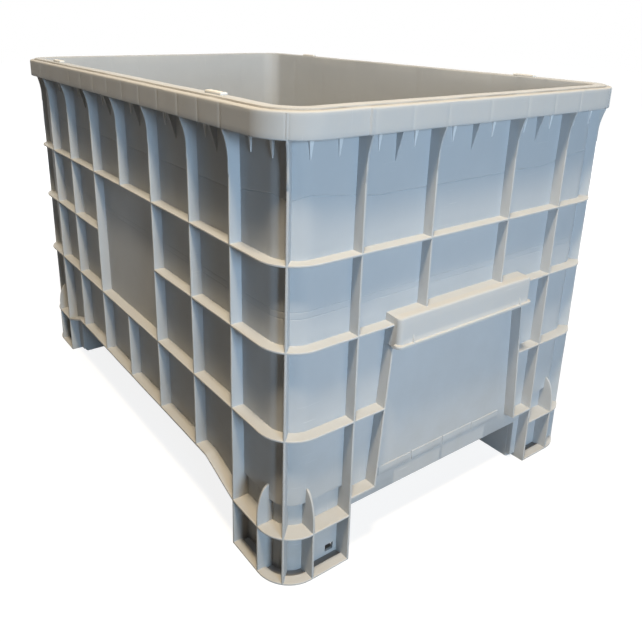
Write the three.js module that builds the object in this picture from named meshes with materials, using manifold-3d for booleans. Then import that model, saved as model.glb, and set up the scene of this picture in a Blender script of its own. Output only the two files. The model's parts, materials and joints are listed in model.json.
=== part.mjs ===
// Plastic pallet box on four moulded feet: one injection moulding in grey polyethylene.
// Frame: millimetres, +Z up, origin on the ground under the middle of the box.
// X runs along the long side, Y along the short side.

import * as THREE from 'three';
import { mergeVertices } from 'three/addons/utils/BufferGeometryUtils.js';
import Module from 'manifold-3d';

// Driving dimensions of the whole box
const RIM_LENGTH = 1200;
const RIM_WIDTH = 800;
const RIM_TOP_Z = 780;

// Walls and floor
const RIB_SETBACK = 13;
const RIB_DEPTH = 19;
const CORNER_RADIUS = 65;
const WALL = 4.5;
const WALL_DRAFT = 0.006;
const BOTTOM_Z = 124.5;
const FLOOR_TOP_Z = 145;
const FLOOR_THICKNESS = 5;
const FLOOR_RIB = 4;
const FLOOR_RIB_RISE = 3; // the floor ribs end this far above the lower edge of the walls
const ARC_STEPS = 4;

// Rim
const SKIRT_HEIGHT = 39;
const SKIRT_WALL = 4;
const RIM_PLATE = 4.5;
const RIM_EDGE_ROUND = 2.5;
const RIM_LIP_WIDTH = 13;
const RIM_BAND_RAISE = 3;
const PROUD_STEP = 2.5;
const PROUD_FROM_RIM = 150;
const PROUD_RAMP = 6;
const LUG_FROM_RIM = 218;
const LUG_LENGTH = 50;
const LUG_WIDTH = 12;
const LUG_RAISE = 4;

// Rib grid on the outside
const RIB = 4;
const UPPER_RIB_Z = 562;
const MIDDLE_RIB_Z = 427;
const LOWER_RIB_Z = 276;
const EDGE_FLANGE_Z = 127;
const EDGE_FLANGE = 5;
const LABEL_SHARE = 0.345;
const OUTER_SHARE = 0.694;
const INNER_SHARE = 0.395;
const FLARE_HEIGHT = 50;
const FLARE_STEPS = 4;

// Small gussets under the rim skirt
const FIN = 4;
const FIN_REACH = 12;
const FIN_DROP = 41;
const TOOTH_TOP = 10;
const TOOTH_TIP = 3;
const TOOTH_REACH = 15;
const TOOTH_DROP = 31;
const TOOTH_TIP_REACH = 5;
const CORNER_TOOTH_TURN = 10;

// Handle ledge on each short side
const LEDGE_HALF_WIDTH = 168;
const LEDGE_TOP_Z = 443;
const LEDGE_HEIGHT = 53;
const LEDGE_WALL = 4.5;
const LEDGE_CORNER = 9;
const LEDGE_EDGE_ROUND = 4;
const LEDGE_LIP = 4.5;
const LEDGE_LIP_HEIGHT = 5;
const LEDGE_GUSSET = 3;
const LEDGE_GUSSET_REACH = 3.5;
const LEDGE_GUSSET_HEIGHT = 14;
const LEDGE_GUSSET_Y = 137;

// Smooth panel under the handle and the slanted ribs beside it
const PANEL_HALF_TOP = 165;
const PANEL_HALF_BOTTOM = 187;
const BAND_HEIGHT = 19;
const BAND_RAISE = 1.5;
const BAND_PITCH = 82;
const BAND_JOINT = 3;
const PADS_EACH_WAY = 2;

// Feet
const FOOT_LENGTH = 191;
const FOOT_WIDTH = 175;
const FOOT_PLATE_STEP_X = 32;
const FOOT_PLATE_STEP_Y = 18;
const CORE_INSET = 8;
const CORE_WALL = 4.5;
const CORE_INNER_RADIUS = 80;
const CORE_SIDE_RADIUS = 5;
const STRIP_SETBACK = 0.5;
const STRIP_GAP = 8;
const SHELF_Z = 92.5;
const BASE_RING = 4;
const BASE_RING_WIDTH = 17.5;
const SLOPE_LENGTH = 97;
const FIN_TO_BEND = 3;
const SHARK_BASE_Z = 110;
const SHARK_TOP_Z = 168;
const SHARK_STEPS = 5;
const WINDOW_WIDTH = 17;
const WINDOW_HEIGHT = 14;
const WINDOW_SILL_Z = 8;
const WINDOW_FROM_RIB = 8;

// Planes worked out from the driving dimensions
const rimX = RIM_LENGTH / 2;
const rimY = RIM_WIDTH / 2;
const rimRadius = CORNER_RADIUS + RIB_SETBACK;
const skirtZ = RIM_TOP_Z - SKIRT_HEIGHT;
const ribX = rimX - RIB_SETBACK;
const ribY = rimY - RIB_SETBACK;
const bendX = ribX - CORNER_RADIUS;
const bendY = ribY - CORNER_RADIUS;
const wallX = ribX - RIB_DEPTH;
const wallY = ribY - RIB_DEPTH;
const wallRadius = CORNER_RADIUS - RIB_DEPTH;
const footWallX = wallX - WALL_DRAFT * (RIM_TOP_Z - BOTTOM_Z);
const footWallY = wallY - WALL_DRAFT * (RIM_TOP_Z - BOTTOM_Z);
const coreX = footWallX - CORE_INSET;
const coreY = footWallY - CORE_INSET;
const coreRadius = wallRadius - CORE_INSET;
const floorUnderZ = FLOOR_TOP_Z - FLOOR_THICKNESS;
const ledgeX = rimX;
const ledgeBottomZ = LEDGE_TOP_Z - LEDGE_HEIGHT;
const insideWall = WALL / 2;
const inPlateZ = RIM_TOP_Z - RIM_PLATE / 2;
const inFloorZ = FLOOR_TOP_Z - FLOOR_THICKNESS / 2;
const inLedgeZ = LEDGE_TOP_Z - LEDGE_WALL / 2;
const openingX = rimX - FOOT_LENGTH;
const openingY = rimY - FOOT_WIDTH;
const longFootX = openingX + FOOT_PLATE_STEP_X;
const shortFootY = openingY + FOOT_PLATE_STEP_Y;
const longLabelX = LABEL_SHARE * longFootX;
const longOuterX = OUTER_SHARE * longFootX;
const shortInnerY = INNER_SHARE * shortFootY;
const slopeStartX = longFootX - SLOPE_LENGTH;
const proudHalfWidth = rimY - PROUD_FROM_RIM;
const lugX = rimX - LUG_FROM_RIM;
const flangeSideX = longFootX - RIB / 2;
const flangeEndY = shortFootY - RIB / 2;
const slopeDrop = EDGE_FLANGE_Z - SHELF_Z;

// Parts that are trimmed later start this far outside the trimming plane.
const SPARE = 10;
const quadrants = [[1, 1], [-1, 1], [-1, -1], [1, -1]];

const wasm = await Module();
wasm.setup();

// Turns a closed three.js geometry into a solid for joining and cutting.
function toSolid(geometry) {
  const bare = geometry.index ? geometry.toNonIndexed() : geometry.clone();
  bare.deleteAttribute('normal');
  bare.deleteAttribute('uv');
  const merged = mergeVertices(bare, 1e-4);
  return new wasm.Manifold(new wasm.Mesh({
    numProp: 3,
    vertProperties: new Float32Array(merged.attributes.position.array),
    triVerts: new Uint32Array(merged.index.array),
  }));
}

// Turns a solid back into a three.js geometry.
function toGeometry(solid) {
  const mesh = solid.getMesh();
  const geometry = new THREE.BufferGeometry();
  geometry.setAttribute('position', new THREE.BufferAttribute(new Float32Array(mesh.vertProperties), 3));
  geometry.setIndex(new THREE.BufferAttribute(new Uint32Array(mesh.triVerts), 1));
  return geometry;
}

// Joins a list of solids.
function join(solids) {
  return solids.reduce((sum, solid) => sum.add(solid));
}

// A shape in plan, extruded from one height to another.
function layer(shape, fromZ, toZ) {
  const geometry = new THREE.ExtrudeGeometry(shape, {
    depth: toZ - fromZ, bevelEnabled: false, curveSegments: ARC_STEPS,
  });
  return geometry.translate(0, 0, fromZ);
}

// The same with its upper edge rounded; what the rounding adds below fromZ is cut away.
function roundedLayer(shape, fromZ, toZ, round) {
  const geometry = new THREE.ExtrudeGeometry(shape, {
    depth: toZ - fromZ,
    bevelThickness: round,
    bevelSize: round,
    bevelOffset: -round,
    bevelSegments: 2,
    curveSegments: ARC_STEPS,
  });
  const below = new THREE.BoxGeometry(2 * RIM_LENGTH, 2 * RIM_LENGTH, 4 * round);
  return toSolid(geometry.translate(0, 0, fromZ - round))
    .subtract(toSolid(below.translate(0, 0, fromZ - 2 * round)));
}

// A block given by its lowest and highest corner.
function block(x0, y0, z0, x1, y1, z1) {
  const geometry = new THREE.BoxGeometry(x1 - x0, y1 - y0, z1 - z0);
  return toSolid(geometry.translate((x0 + x1) / 2, (y0 + y1) / 2, (z0 + z1) / 2));
}

// A block in one quadrant, given by its distances from the two middle planes.
function cornerBlock(sx, sy, nearX, nearY, z0, farX, farY, z1) {
  return block(
    Math.min(sx * nearX, sx * farX), Math.min(sy * nearY, sy * farY), z0,
    Math.max(sx * nearX, sx * farX), Math.max(sy * nearY, sy * farY), z1,
  );
}

// A plan shape of one quadrant, extruded between two heights and copied into all four.
function layerInFour(shape, fromZ, toZ) {
  return quadrants.map(([sx, sy]) => {
    const geometry = layer(shape, fromZ, toZ).scale(sx, sy, 1);
    if (sx * sy < 0) flipFaces(geometry);
    return toSolid(geometry);
  });
}

// A mirrored geometry has its faces turned round; this turns them back.
function flipFaces(geometry) {
  const position = geometry.attributes.position;
  const held = new THREE.Vector3();
  const other = new THREE.Vector3();
  for (let i = 0; i < position.count; i += 3) {
    held.fromBufferAttribute(position, i + 1);
    other.fromBufferAttribute(position, i + 2);
    position.setXYZ(i + 1, other.x, other.y, other.z);
    position.setXYZ(i + 2, held.x, held.y, held.z);
  }
}

// A rectangle with round corners, centred on the origin.
function roundedRectangle(halfX, halfY, radius) {
  const shape = new THREE.Shape();
  const cx = halfX - radius;
  const cy = halfY - radius;
  shape.absarc(cx, cy, radius, 0, Math.PI / 2);
  shape.absarc(-cx, cy, radius, Math.PI / 2, Math.PI);
  shape.absarc(-cx, -cy, radius, Math.PI, 1.5 * Math.PI);
  shape.absarc(cx, -cy, radius, 1.5 * Math.PI, 2 * Math.PI);
  shape.closePath();
  return shape;
}

// A prism of the wall outline whose sides lean out by the wall draft, true at the rim.
function draftedPrism(inset, fromZ, toZ) {
  const outline = roundedRectangle(wallX - inset, wallY - inset, wallRadius - inset);
  const geometry = layer(outline, fromZ, toZ);
  const position = geometry.attributes.position;
  for (let i = 0; i < position.count; i += 1) {
    const lean = WALL_DRAFT * (position.getZ(i) - RIM_TOP_Z);
    position.setX(i, position.getX(i) + Math.sign(position.getX(i)) * lean);
    position.setY(i, position.getY(i) + Math.sign(position.getY(i)) * lean);
  }
  return toSolid(geometry);
}

// A plate standing upright: its outline is drawn in distance outwards from a point and height.
function standing(outline, thickness, x, y, turn) {
  const shape = new THREE.Shape(outline.map(([out, z]) => new THREE.Vector2(out, z)));
  const geometry = new THREE.ExtrudeGeometry(shape, { depth: thickness, bevelEnabled: false });
  const outwards = new THREE.Vector3(Math.cos(turn), Math.sin(turn), 0);
  const upwards = new THREE.Vector3(0, 0, 1);
  const across = new THREE.Vector3().crossVectors(outwards, upwards);
  geometry.applyMatrix4(new THREE.Matrix4().makeBasis(outwards, upwards, across));
  return toSolid(geometry.translate(
    x - across.x * thickness / 2,
    y - across.y * thickness / 2,
    0,
  ));
}

// The same plate in all four quadrants, mirrored in both middle planes.
function standingInFour(outline, thickness, x, y, turn) {
  return quadrants.map(([sx, sy]) => {
    const mirrored = Math.atan2(sy * Math.sin(turn), sx * Math.cos(turn));
    return standing(outline, thickness, sx * x, sy * y, mirrored);
  });
}

// Outline of an upright rib: straight up to the flare, then out to the skirt.
function uprightOutline(root, edge, flareEdge, bottomZ) {
  const points = [[root, bottomZ], [edge, bottomZ]];
  for (let step = 0; step <= FLARE_STEPS; step += 1) {
    const share = step / FLARE_STEPS;
    points.push([
      edge + (flareEdge - edge) * share * share,
      skirtZ - FLARE_HEIGHT * (1 - share),
    ]);
  }
  points.push([flareEdge, inPlateZ], [root, inPlateZ]);
  return points;
}

// Upright ribs of one station on both long sides.
function longRib(x, fromZ) {
  const outline = uprightOutline(coreY - insideWall, ribY, rimY - SKIRT_WALL / 2, fromZ);
  return standingInFour(outline, RIB, x, 0, Math.PI / 2);
}

// The middle rib of a long side has a gap for the label panel between two level ribs.
function middleRib() {
  const root = coreY - insideWall;
  const upper = uprightOutline(root, ribY, rimY - SKIRT_WALL / 2, UPPER_RIB_Z);
  const low = BOTTOM_Z - SPARE;
  const lower = [[root, low], [ribY, low], [ribY, LOWER_RIB_Z], [root, LOWER_RIB_Z]];
  return [Math.PI / 2, -Math.PI / 2].flatMap((turn) => [
    standing(upper, RIB, 0, 0, turn),
    standing(lower, RIB, 0, 0, turn),
  ]);
}

// Upright ribs of one station on both short sides.
function shortRib(y, fromZ) {
  const outline = uprightOutline(coreX - insideWall, ribX, rimX - SKIRT_WALL / 2, fromZ);
  return standingInFour(outline, RIB, 0, y, 0);
}

// One level rib, all the way round.
function levelRib(z, thickness) {
  const outline = roundedRectangle(ribX, ribY, CORNER_RADIUS);
  return toSolid(layer(outline, z - thickness / 2, z + thickness / 2));
}

// Rim outline: the middle of each short side stands a little proud of the corners.
function rimOutline(inset) {
  const shape = new THREE.Shape();
  const cornerX = rimX - PROUD_STEP - inset;
  const sideY = rimY - inset;
  const radius = rimRadius - inset;
  const cx = cornerX - radius;
  const cy = sideY - radius;
  const proudX = rimX - inset;
  const rampY = proudHalfWidth + PROUD_RAMP;
  shape.moveTo(proudX, -proudHalfWidth);
  shape.lineTo(proudX, proudHalfWidth);
  shape.lineTo(cornerX, rampY);
  shape.absarc(cx, cy, radius, 0, Math.PI / 2);
  shape.absarc(-cx, cy, radius, Math.PI / 2, Math.PI);
  shape.lineTo(-cornerX, rampY);
  shape.lineTo(-proudX, proudHalfWidth);
  shape.lineTo(-proudX, -proudHalfWidth);
  shape.lineTo(-cornerX, -rampY);
  shape.absarc(-cx, -cy, radius, Math.PI, 1.5 * Math.PI);
  shape.absarc(cx, -cy, radius, 1.5 * Math.PI, 2 * Math.PI);
  shape.lineTo(cornerX, -rampY);
  shape.closePath();
  return shape;
}

// Rim: a flat plate with a hanging skirt, a raised band round the mouth, and four lugs.
function makeRim() {
  const outer = roundedLayer(rimOutline(0), skirtZ, RIM_TOP_Z, RIM_EDGE_ROUND);
  const under = toSolid(layer(rimOutline(SKIRT_WALL), skirtZ - 1, RIM_TOP_Z - RIM_PLATE));
  const bandOutline = roundedRectangle(
    rimX - RIM_LIP_WIDTH,
    rimY - RIM_LIP_WIDTH,
    rimRadius - RIM_LIP_WIDTH,
  );
  const bandTop = RIM_TOP_Z + RIM_BAND_RAISE;
  const band = toSolid(layer(bandOutline, inPlateZ, bandTop));
  const lugInnerY = wallY - WALL / 2;
  const lugs = quadrants.map(([sx, sy]) => block(
    sx * lugX - LUG_LENGTH / 2,
    Math.min(sy * lugInnerY, sy * (lugInnerY + LUG_WIDTH)),
    bandTop - 1,
    sx * lugX + LUG_LENGTH / 2,
    Math.max(sy * lugInnerY, sy * (lugInnerY + LUG_WIDTH)),
    bandTop + LUG_RAISE,
  ));
  return join([outer.subtract(under), band, ...lugs]);
}

// A pointed tooth under the skirt, widening from its tip to a full-width root.
function tooth(x, y, turn) {
  const lowZ = skirtZ - TOOTH_DROP;
  const levels = [
    [lowZ, TOOTH_TIP / 2, TOOTH_TIP_REACH],
    [skirtZ, TOOTH_TOP / 2, TOOTH_REACH],
    [inPlateZ, TOOTH_TOP / 2, TOOTH_REACH],
  ];
  const geometry = new THREE.BoxGeometry(1, 1, levels.length - 1, 1, 1, levels.length - 1);
  const position = geometry.attributes.position;
  for (let i = 0; i < position.count; i += 1) {
    const level = Math.round(position.getZ(i) + (levels.length - 1) / 2);
    const [z, half, reach] = levels[level];
    position.setXYZ(i, position.getX(i) > 0 ? reach : -insideWall, 2 * half * position.getY(i), z);
  }
  return toSolid(geometry.rotateZ(turn).translate(x, y, 0));
}

function toothInFour(x, y, turn) {
  return quadrants.map(([sx, sy]) => {
    const mirrored = Math.atan2(sy * Math.sin(turn), sx * Math.cos(turn));
    return tooth(sx * x, sy * y, mirrored);
  });
}

// One bay between two uprights: a thin fin in its middle and a tooth at each quarter.
function bayGussets(from, to, isLong) {
  const middle = (from + to) / 2;
  const quarter = (to - from) / 4;
  const finOutline = [
    [-insideWall, skirtZ - FIN_DROP - insideWall],
    [FIN_REACH, skirtZ],
    [FIN_REACH, inPlateZ],
    [-insideWall, inPlateZ],
  ];
  const turn = isLong ? Math.PI / 2 : 0;
  const place = (along) => (isLong ? [along, wallY] : [wallX, along]);
  const spots = middle === 0 ? [-quarter, quarter] : [middle - quarter, middle + quarter];
  const teeth = middle === 0
    ? toothInFour(...place(quarter), turn)
    : spots.flatMap((along) => toothInFour(...place(along), turn));
  const fins = middle === 0
    ? [0, Math.PI].map((half) => standing(finOutline, FIN, wallX * Math.cos(half), 0, half))
    : standingInFour(finOutline, FIN, ...place(middle), turn);
  return [...teeth, ...fins];
}

function makeSkirtGussets() {
  const cornerTurn = THREE.MathUtils.degToRad(CORNER_TOOTH_TURN);
  const cornerTooth = (turn) => toothInFour(
    bendX + wallRadius * Math.cos(turn),
    bendY + wallRadius * Math.sin(turn),
    turn,
  );
  const longQuarter = (longFootX - longOuterX) / 4;
  const shortQuarter = (shortFootY - shortInnerY) / 4;
  return [
    ...bayGussets(0, longLabelX, true),
    ...bayGussets(longLabelX, longOuterX, true),
    ...bayGussets(longOuterX, longFootX, true),
    ...bayGussets(-shortInnerY, shortInnerY, false),
    ...bayGussets(shortInnerY, shortFootY, false),
    ...toothInFour(longFootX + longQuarter, wallY, Math.PI / 2),
    ...toothInFour(wallX, shortFootY + shortQuarter, 0),
    ...cornerTooth(cornerTurn),
    ...cornerTooth(Math.PI / 2 - cornerTurn),
  ];
}

// Rib grid: level ribs, upright ribs and the rib on each corner's diagonal.
function makeRibGrid() {
  const labelCut = block(
    -longLabelX, -RIM_WIDTH, MIDDLE_RIB_Z - RIB, longLabelX, RIM_WIDTH, MIDDLE_RIB_Z + RIB,
  );
  const grid = join([
    levelRib(UPPER_RIB_Z, RIB),
    levelRib(MIDDLE_RIB_Z, RIB).subtract(labelCut),
    levelRib(LOWER_RIB_Z, RIB),
    ...middleRib(),
    ...longRib(longLabelX, BOTTOM_Z - SPARE),
    ...longRib(longOuterX, BOTTOM_Z - SPARE),
    ...shortRib(shortInnerY, inLedgeZ),
  ]);
  return grid.subtract(toSolid(panelGeometry(RIB / 2, inLedgeZ)));
}

// The area under the handle, from end to end of the box, grown sideways by a margin.
function panelGeometry(margin, topZ) {
  const slope = (PANEL_HALF_BOTTOM - PANEL_HALF_TOP) / (ledgeBottomZ - BOTTOM_Z);
  const lowZ = BOTTOM_Z - SPARE;
  const lowHalf = PANEL_HALF_BOTTOM + slope * SPARE + margin;
  const shape = new THREE.Shape([
    new THREE.Vector2(-lowHalf, lowZ),
    new THREE.Vector2(lowHalf, lowZ),
    new THREE.Vector2(PANEL_HALF_TOP + margin, ledgeBottomZ),
    new THREE.Vector2(PANEL_HALF_TOP + margin, topZ),
    new THREE.Vector2(-PANEL_HALF_TOP - margin, topZ),
    new THREE.Vector2(-PANEL_HALF_TOP - margin, ledgeBottomZ),
  ]);
  const geometry = new THREE.ExtrudeGeometry(shape, { depth: 2 * RIM_LENGTH, bevelEnabled: false });
  const basis = new THREE.Matrix4().makeBasis(
    new THREE.Vector3(0, 1, 0), new THREE.Vector3(0, 0, 1), new THREE.Vector3(1, 0, 0),
  );
  return geometry.translate(0, 0, -RIM_LENGTH).applyMatrix4(basis);
}

// Slanted ribs beside the panel and the low raised band along its foot.
function makePanelTrim() {
  const ribTopZ = ledgeBottomZ + LEDGE_LIP_HEIGHT / 2;
  const ribs = toSolid(panelGeometry(RIB, ribTopZ))
    .subtract(toSolid(panelGeometry(0, LEDGE_TOP_Z)))
    .intersect(block(-ribX, -ribY, 0, ribX, ribY, RIM_TOP_Z));
  const pads = [];
  for (const side of [-1, 1]) {
    for (let place = -PADS_EACH_WAY; place < PADS_EACH_WAY; place += 1) {
      const fromY = place * BAND_PITCH + BAND_JOINT / 2;
      const toY = (place + 1) * BAND_PITCH - BAND_JOINT / 2;
      const innerX = side * (footWallX - insideWall);
      const outerX = side * (footWallX + BAND_RAISE);
      pads.push(block(
        Math.min(innerX, outerX), fromY, BOTTOM_Z - SPARE,
        Math.max(innerX, outerX), toY, BOTTOM_Z + BAND_HEIGHT,
      ));
    }
  }
  return join([ribs, ...pads]);
}

// Flange along the walls' lower edge; on the long sides it runs down to the feet's shelves.
function makeEdgeFlange() {
  const topZ = EDGE_FLANGE_Z + EDGE_FLANGE / 2;
  const ends = quadrants.map(([sx, sy]) => cornerBlock(
    sx, sy, coreX - insideWall, PANEL_HALF_BOTTOM + RIB / 2, BOTTOM_Z - SPARE,
    ribX, shortFootY, topZ,
  ));
  const outline = [
    [-longFootX, topZ - slopeDrop], [-longFootX, topZ - slopeDrop - 2 * SPARE],
    [longFootX, topZ - slopeDrop - 2 * SPARE], [longFootX, topZ - slopeDrop],
    [slopeStartX, topZ], [-slopeStartX, topZ],
  ];
  const depth = ribY - coreY + insideWall;
  const middle = ribY - depth / 2;
  const sides = [-1, 1].map((side) => standing(outline, depth, 0, side * middle, 0));
  return join([...ends, ...sides]);
}

// Handle: a ledge with a hollow underside, a lip along its lower edge and two lip gussets.
function makeLedge(side) {
  const innerX = footWallX - insideWall;
  const outline = (grow) => {
    const shape = new THREE.Shape();
    const farX = ledgeX + grow;
    const halfY = LEDGE_HALF_WIDTH + grow;
    const radius = LEDGE_CORNER + grow;
    shape.moveTo(innerX, -halfY);
    shape.lineTo(farX - radius, -halfY);
    shape.absarc(farX - radius, -halfY + radius, radius, -Math.PI / 2, 0);
    shape.absarc(farX - radius, halfY - radius, radius, 0, Math.PI / 2);
    shape.lineTo(innerX, halfY);
    shape.closePath();
    return shape;
  };
  const shell = roundedLayer(outline(0), ledgeBottomZ - 1, LEDGE_TOP_Z, LEDGE_EDGE_ROUND);
  const lip = toSolid(layer(outline(LEDGE_LIP), ledgeBottomZ - 1, ledgeBottomZ + LEDGE_LIP_HEIGHT));
  const hollow = toSolid(layer(
    outline(-LEDGE_WALL), ledgeBottomZ - SPARE, LEDGE_TOP_Z - LEDGE_WALL,
  ));
  const gussetFoot = ledgeBottomZ + LEDGE_LIP_HEIGHT / 2;
  const gussets = [-1, 1].map((end) => standing(
    [
      [ledgeX - insideWall, gussetFoot],
      [ledgeX + LEDGE_GUSSET_REACH, gussetFoot],
      [ledgeX, ledgeBottomZ + LEDGE_LIP_HEIGHT + LEDGE_GUSSET_HEIGHT],
      [ledgeX - insideWall, ledgeBottomZ + LEDGE_LIP_HEIGHT + LEDGE_GUSSET_HEIGHT],
    ],
    LEDGE_GUSSET, 0, end * LEDGE_GUSSET_Y, 0,
  ));
  const ledge = join([shell, lip, ...gussets])
    .subtract(hollow)
    .intersect(block(0, -RIM_WIDTH, ledgeBottomZ, RIM_LENGTH, RIM_WIDTH, RIM_TOP_Z));
  return side > 0 ? ledge : halfTurned(ledge);
}

// The same solid turned half round about the upright axis.
function halfTurned(solid) {
  return toSolid(toGeometry(solid).rotateZ(Math.PI));
}

// Everything above the feet, trimmed along the walls' lower edge in one cut.
function makeUpperBody() {
  const lowZ = BOTTOM_Z - slopeDrop - SPARE;
  const cornerSteps = quadrants.map(([sx, sy]) => cornerBlock(
    sx, sy, longFootX, shortFootY, lowZ - SPARE, RIM_LENGTH, RIM_LENGTH, floorUnderZ,
  ));
  const walls = draftedPrism(0, lowZ, inPlateZ).subtract(join(cornerSteps));
  const edge = [
    [-flangeSideX, lowZ - 2 * SPARE], [flangeSideX, lowZ - 2 * SPARE],
    [flangeSideX, BOTTOM_Z - slopeDrop],
    [slopeStartX, BOTTOM_Z], [-slopeStartX, BOTTOM_Z],
    [-flangeSideX, BOTTOM_Z - slopeDrop],
  ];
  const reach = 2 * RIM_LENGTH;
  const under = join([
    standing(edge, reach, 0, 0, 0),
    block(-reach, -flangeEndY, lowZ - 2 * SPARE, reach, flangeEndY, BOTTOM_Z),
  ]);
  return join([walls, makeRibGrid(), makeEdgeFlange(), makePanelTrim()]).subtract(under);
}

// Plan of a foot's core in the first quadrant, drawn inwards by an inset.
function coreOutline(inset) {
  const shape = new THREE.Shape();
  const nearX = openingX + inset;
  const nearY = openingY + inset;
  const farX = coreX - inset;
  const farY = coreY - inset;
  const outer = coreRadius - inset;
  const side = CORE_SIDE_RADIUS;
  const inner = CORE_INNER_RADIUS - inset;
  shape.absarc(farX - outer, farY - outer, outer, 0, Math.PI / 2);
  shape.absarc(nearX + side, farY - side, side, Math.PI / 2, Math.PI);
  shape.absarc(nearX + inner, nearY + inner, inner, Math.PI, 1.5 * Math.PI);
  shape.absarc(farX - side, nearY + side, side, 1.5 * Math.PI, 2 * Math.PI);
  shape.closePath();
  return shape;
}

// Plan of a strip that follows the rib edge round a corner, from rib plate to rib plate.
function cornerStrip(width) {
  const shape = new THREE.Shape();
  const innerX = ribX - width;
  const innerY = ribY - width;
  const inner = CORNER_RADIUS - width;
  shape.moveTo(ribX, shortFootY);
  shape.absarc(bendX, bendY, CORNER_RADIUS, 0, Math.PI / 2);
  shape.lineTo(longFootX, ribY);
  shape.lineTo(longFootX, innerY);
  shape.absarc(innerX - inner, innerY - inner, inner, Math.PI / 2, 0, true);
  shape.lineTo(innerX, shortFootY);
  shape.closePath();
  return shape;
}

// Outline of a foot's fin: a rib up to the shelf, then a quarter ellipse back to the wall.
function footFinOutline(root, wall, edge) {
  const points = [[root, -SPARE], [edge, -SPARE]];
  for (let step = 0; step <= SHARK_STEPS; step += 1) {
    const angle = (step / SHARK_STEPS) * Math.PI / 2;
    points.push([
      wall + (edge - wall) * Math.cos(angle),
      SHARK_BASE_Z + (SHARK_TOP_Z - SHARK_BASE_Z) * Math.sin(angle),
    ]);
  }
  points.push([root, SHARK_TOP_Z - CORE_INSET]);
  return points;
}

// Everything of the four feet that stands outside the cores.
function makeFootRibs() {
  const rootX = coreX - insideWall;
  const rootY = coreY - insideWall;
  const finX = bendX - FIN_TO_BEND;
  const finY = bendY - FIN_TO_BEND;
  const shelf = cornerStrip(ribX - rootX);
  const cornerPlate = uprightOutline(0, CORNER_RADIUS, rimRadius - SKIRT_WALL, -SPARE);
  return [
    ...longRib(longFootX, -SPARE),
    ...shortRib(shortFootY, -SPARE),
    ...standingInFour(cornerPlate, RIB, bendX, bendY, Math.PI / 4),
    ...layerInFour(shelf, SHELF_Z - RIB / 2, SHELF_Z + RIB / 2),
    ...layerInFour(cornerStrip(BASE_RING_WIDTH), -SPARE, BASE_RING),
    ...standingInFour(footFinOutline(rootX, footWallX - insideWall, ribX), RIB, 0, finY, 0),
    ...standingInFour(
      footFinOutline(rootY, footWallY - insideWall, ribY), RIB, finX, 0, Math.PI / 2,
    ),
  ];
}

// Foot cores with the strips that join them to the wall beside the fork openings.
function makeCores() {
  const stripX = footWallX - STRIP_SETBACK;
  const stripY = footWallY - STRIP_SETBACK;
  const shortStrips = quadrants.map(([sx, sy]) => cornerBlock(
    sx, sy, coreX - insideWall, openingY, STRIP_GAP, stripX, shortFootY, inFloorZ,
  ));
  const longStrips = quadrants.map(([sx, sy]) => cornerBlock(
    sx, sy, openingX, coreY - insideWall, STRIP_GAP, longFootX, stripY, inFloorZ,
  ));
  return join([...layerInFour(coreOutline(0), -SPARE, inFloorZ), ...shortStrips, ...longStrips]);
}

// The hollows of the cores, open below, each divided by a cross of two ribs.
function makeCoreHollows() {
  const middleX = (openingX + coreX) / 2;
  const middleY = (openingY + coreY) / 2;
  const half = FLOOR_RIB / 2;
  const hollows = layerInFour(coreOutline(CORE_WALL), -2 * SPARE, floorUnderZ);
  const crosses = quadrants.flatMap(([sx, sy]) => [
    cornerBlock(sx, sy, middleX - half, 0, -3 * SPARE, middleX + half, rimY, FLOOR_TOP_Z),
    cornerBlock(sx, sy, 0, middleY - half, -3 * SPARE, rimX, middleY + half, FLOOR_TOP_Z),
  ]);
  return join(hollows).subtract(join(crosses));
}

// Small square windows through the cores, beside the rib plates of the short sides.
function makeWindows() {
  const fromY = shortFootY + RIB / 2 + WINDOW_FROM_RIB;
  return quadrants.map(([sx, sy]) => cornerBlock(
    sx, sy, coreX - 2 * CORE_WALL, fromY, WINDOW_SILL_Z,
    coreX + CORE_WALL, fromY + WINDOW_WIDTH, WINDOW_SILL_Z + WINDOW_HEIGHT,
  ));
}

// The space under the floor between the feet, less the ribs that stiffen the floor from below.
function makeUnderFloor() {
  const half = FLOOR_RIB / 2;
  const ribZ = BOTTOM_Z + FLOOR_RIB_RISE;
  const lowZ = BOTTOM_Z - slopeDrop - 2 * SPARE;
  const kept = [];
  for (const x of [0, longLabelX, -longLabelX, longOuterX, -longOuterX]) {
    kept.push(block(x - half, -wallY, ribZ, x + half, wallY, FLOOR_TOP_Z));
  }
  for (const y of [0, 2 * BAND_PITCH, -2 * BAND_PITCH, BAND_PITCH, -BAND_PITCH]) {
    kept.push(block(-wallX, y - half, ribZ, wallX, y + half, FLOOR_TOP_Z));
  }
  return draftedPrism(WALL, lowZ, floorUnderZ).subtract(join(kept));
}

// The whole moulding.
function makeBox() {
  const upper = makeUpperBody().subtract(makeUnderFloor());
  const solid = join([
    upper,
    makeRim(),
    ...makeSkirtGussets(),
    makeLedge(1),
    makeLedge(-1),
    ...makeFootRibs(),
    makeCores(),
  ]);
  const cuts = join([
    draftedPrism(WALL, FLOOR_TOP_Z, RIM_TOP_Z + SPARE),
    makeCoreHollows(),
    ...makeWindows(),
  ]);
  const aboveGround = block(-RIM_LENGTH, -RIM_LENGTH, 0, RIM_LENGTH, RIM_LENGTH, RIM_LENGTH);
  return solid.subtract(cuts).intersect(aboveGround);
}

const greyPlastic = new THREE.MeshStandardMaterial({
  color: 0xa9afb5,
  roughness: 0.55,
  metalness: 0,
});

const palletBox = new THREE.Group();
const boxBody = new THREE.Mesh(toGeometry(makeBox()), greyPlastic);
boxBody.name = 'box_body';
palletBox.add(boxBody);

export default palletBox;
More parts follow.
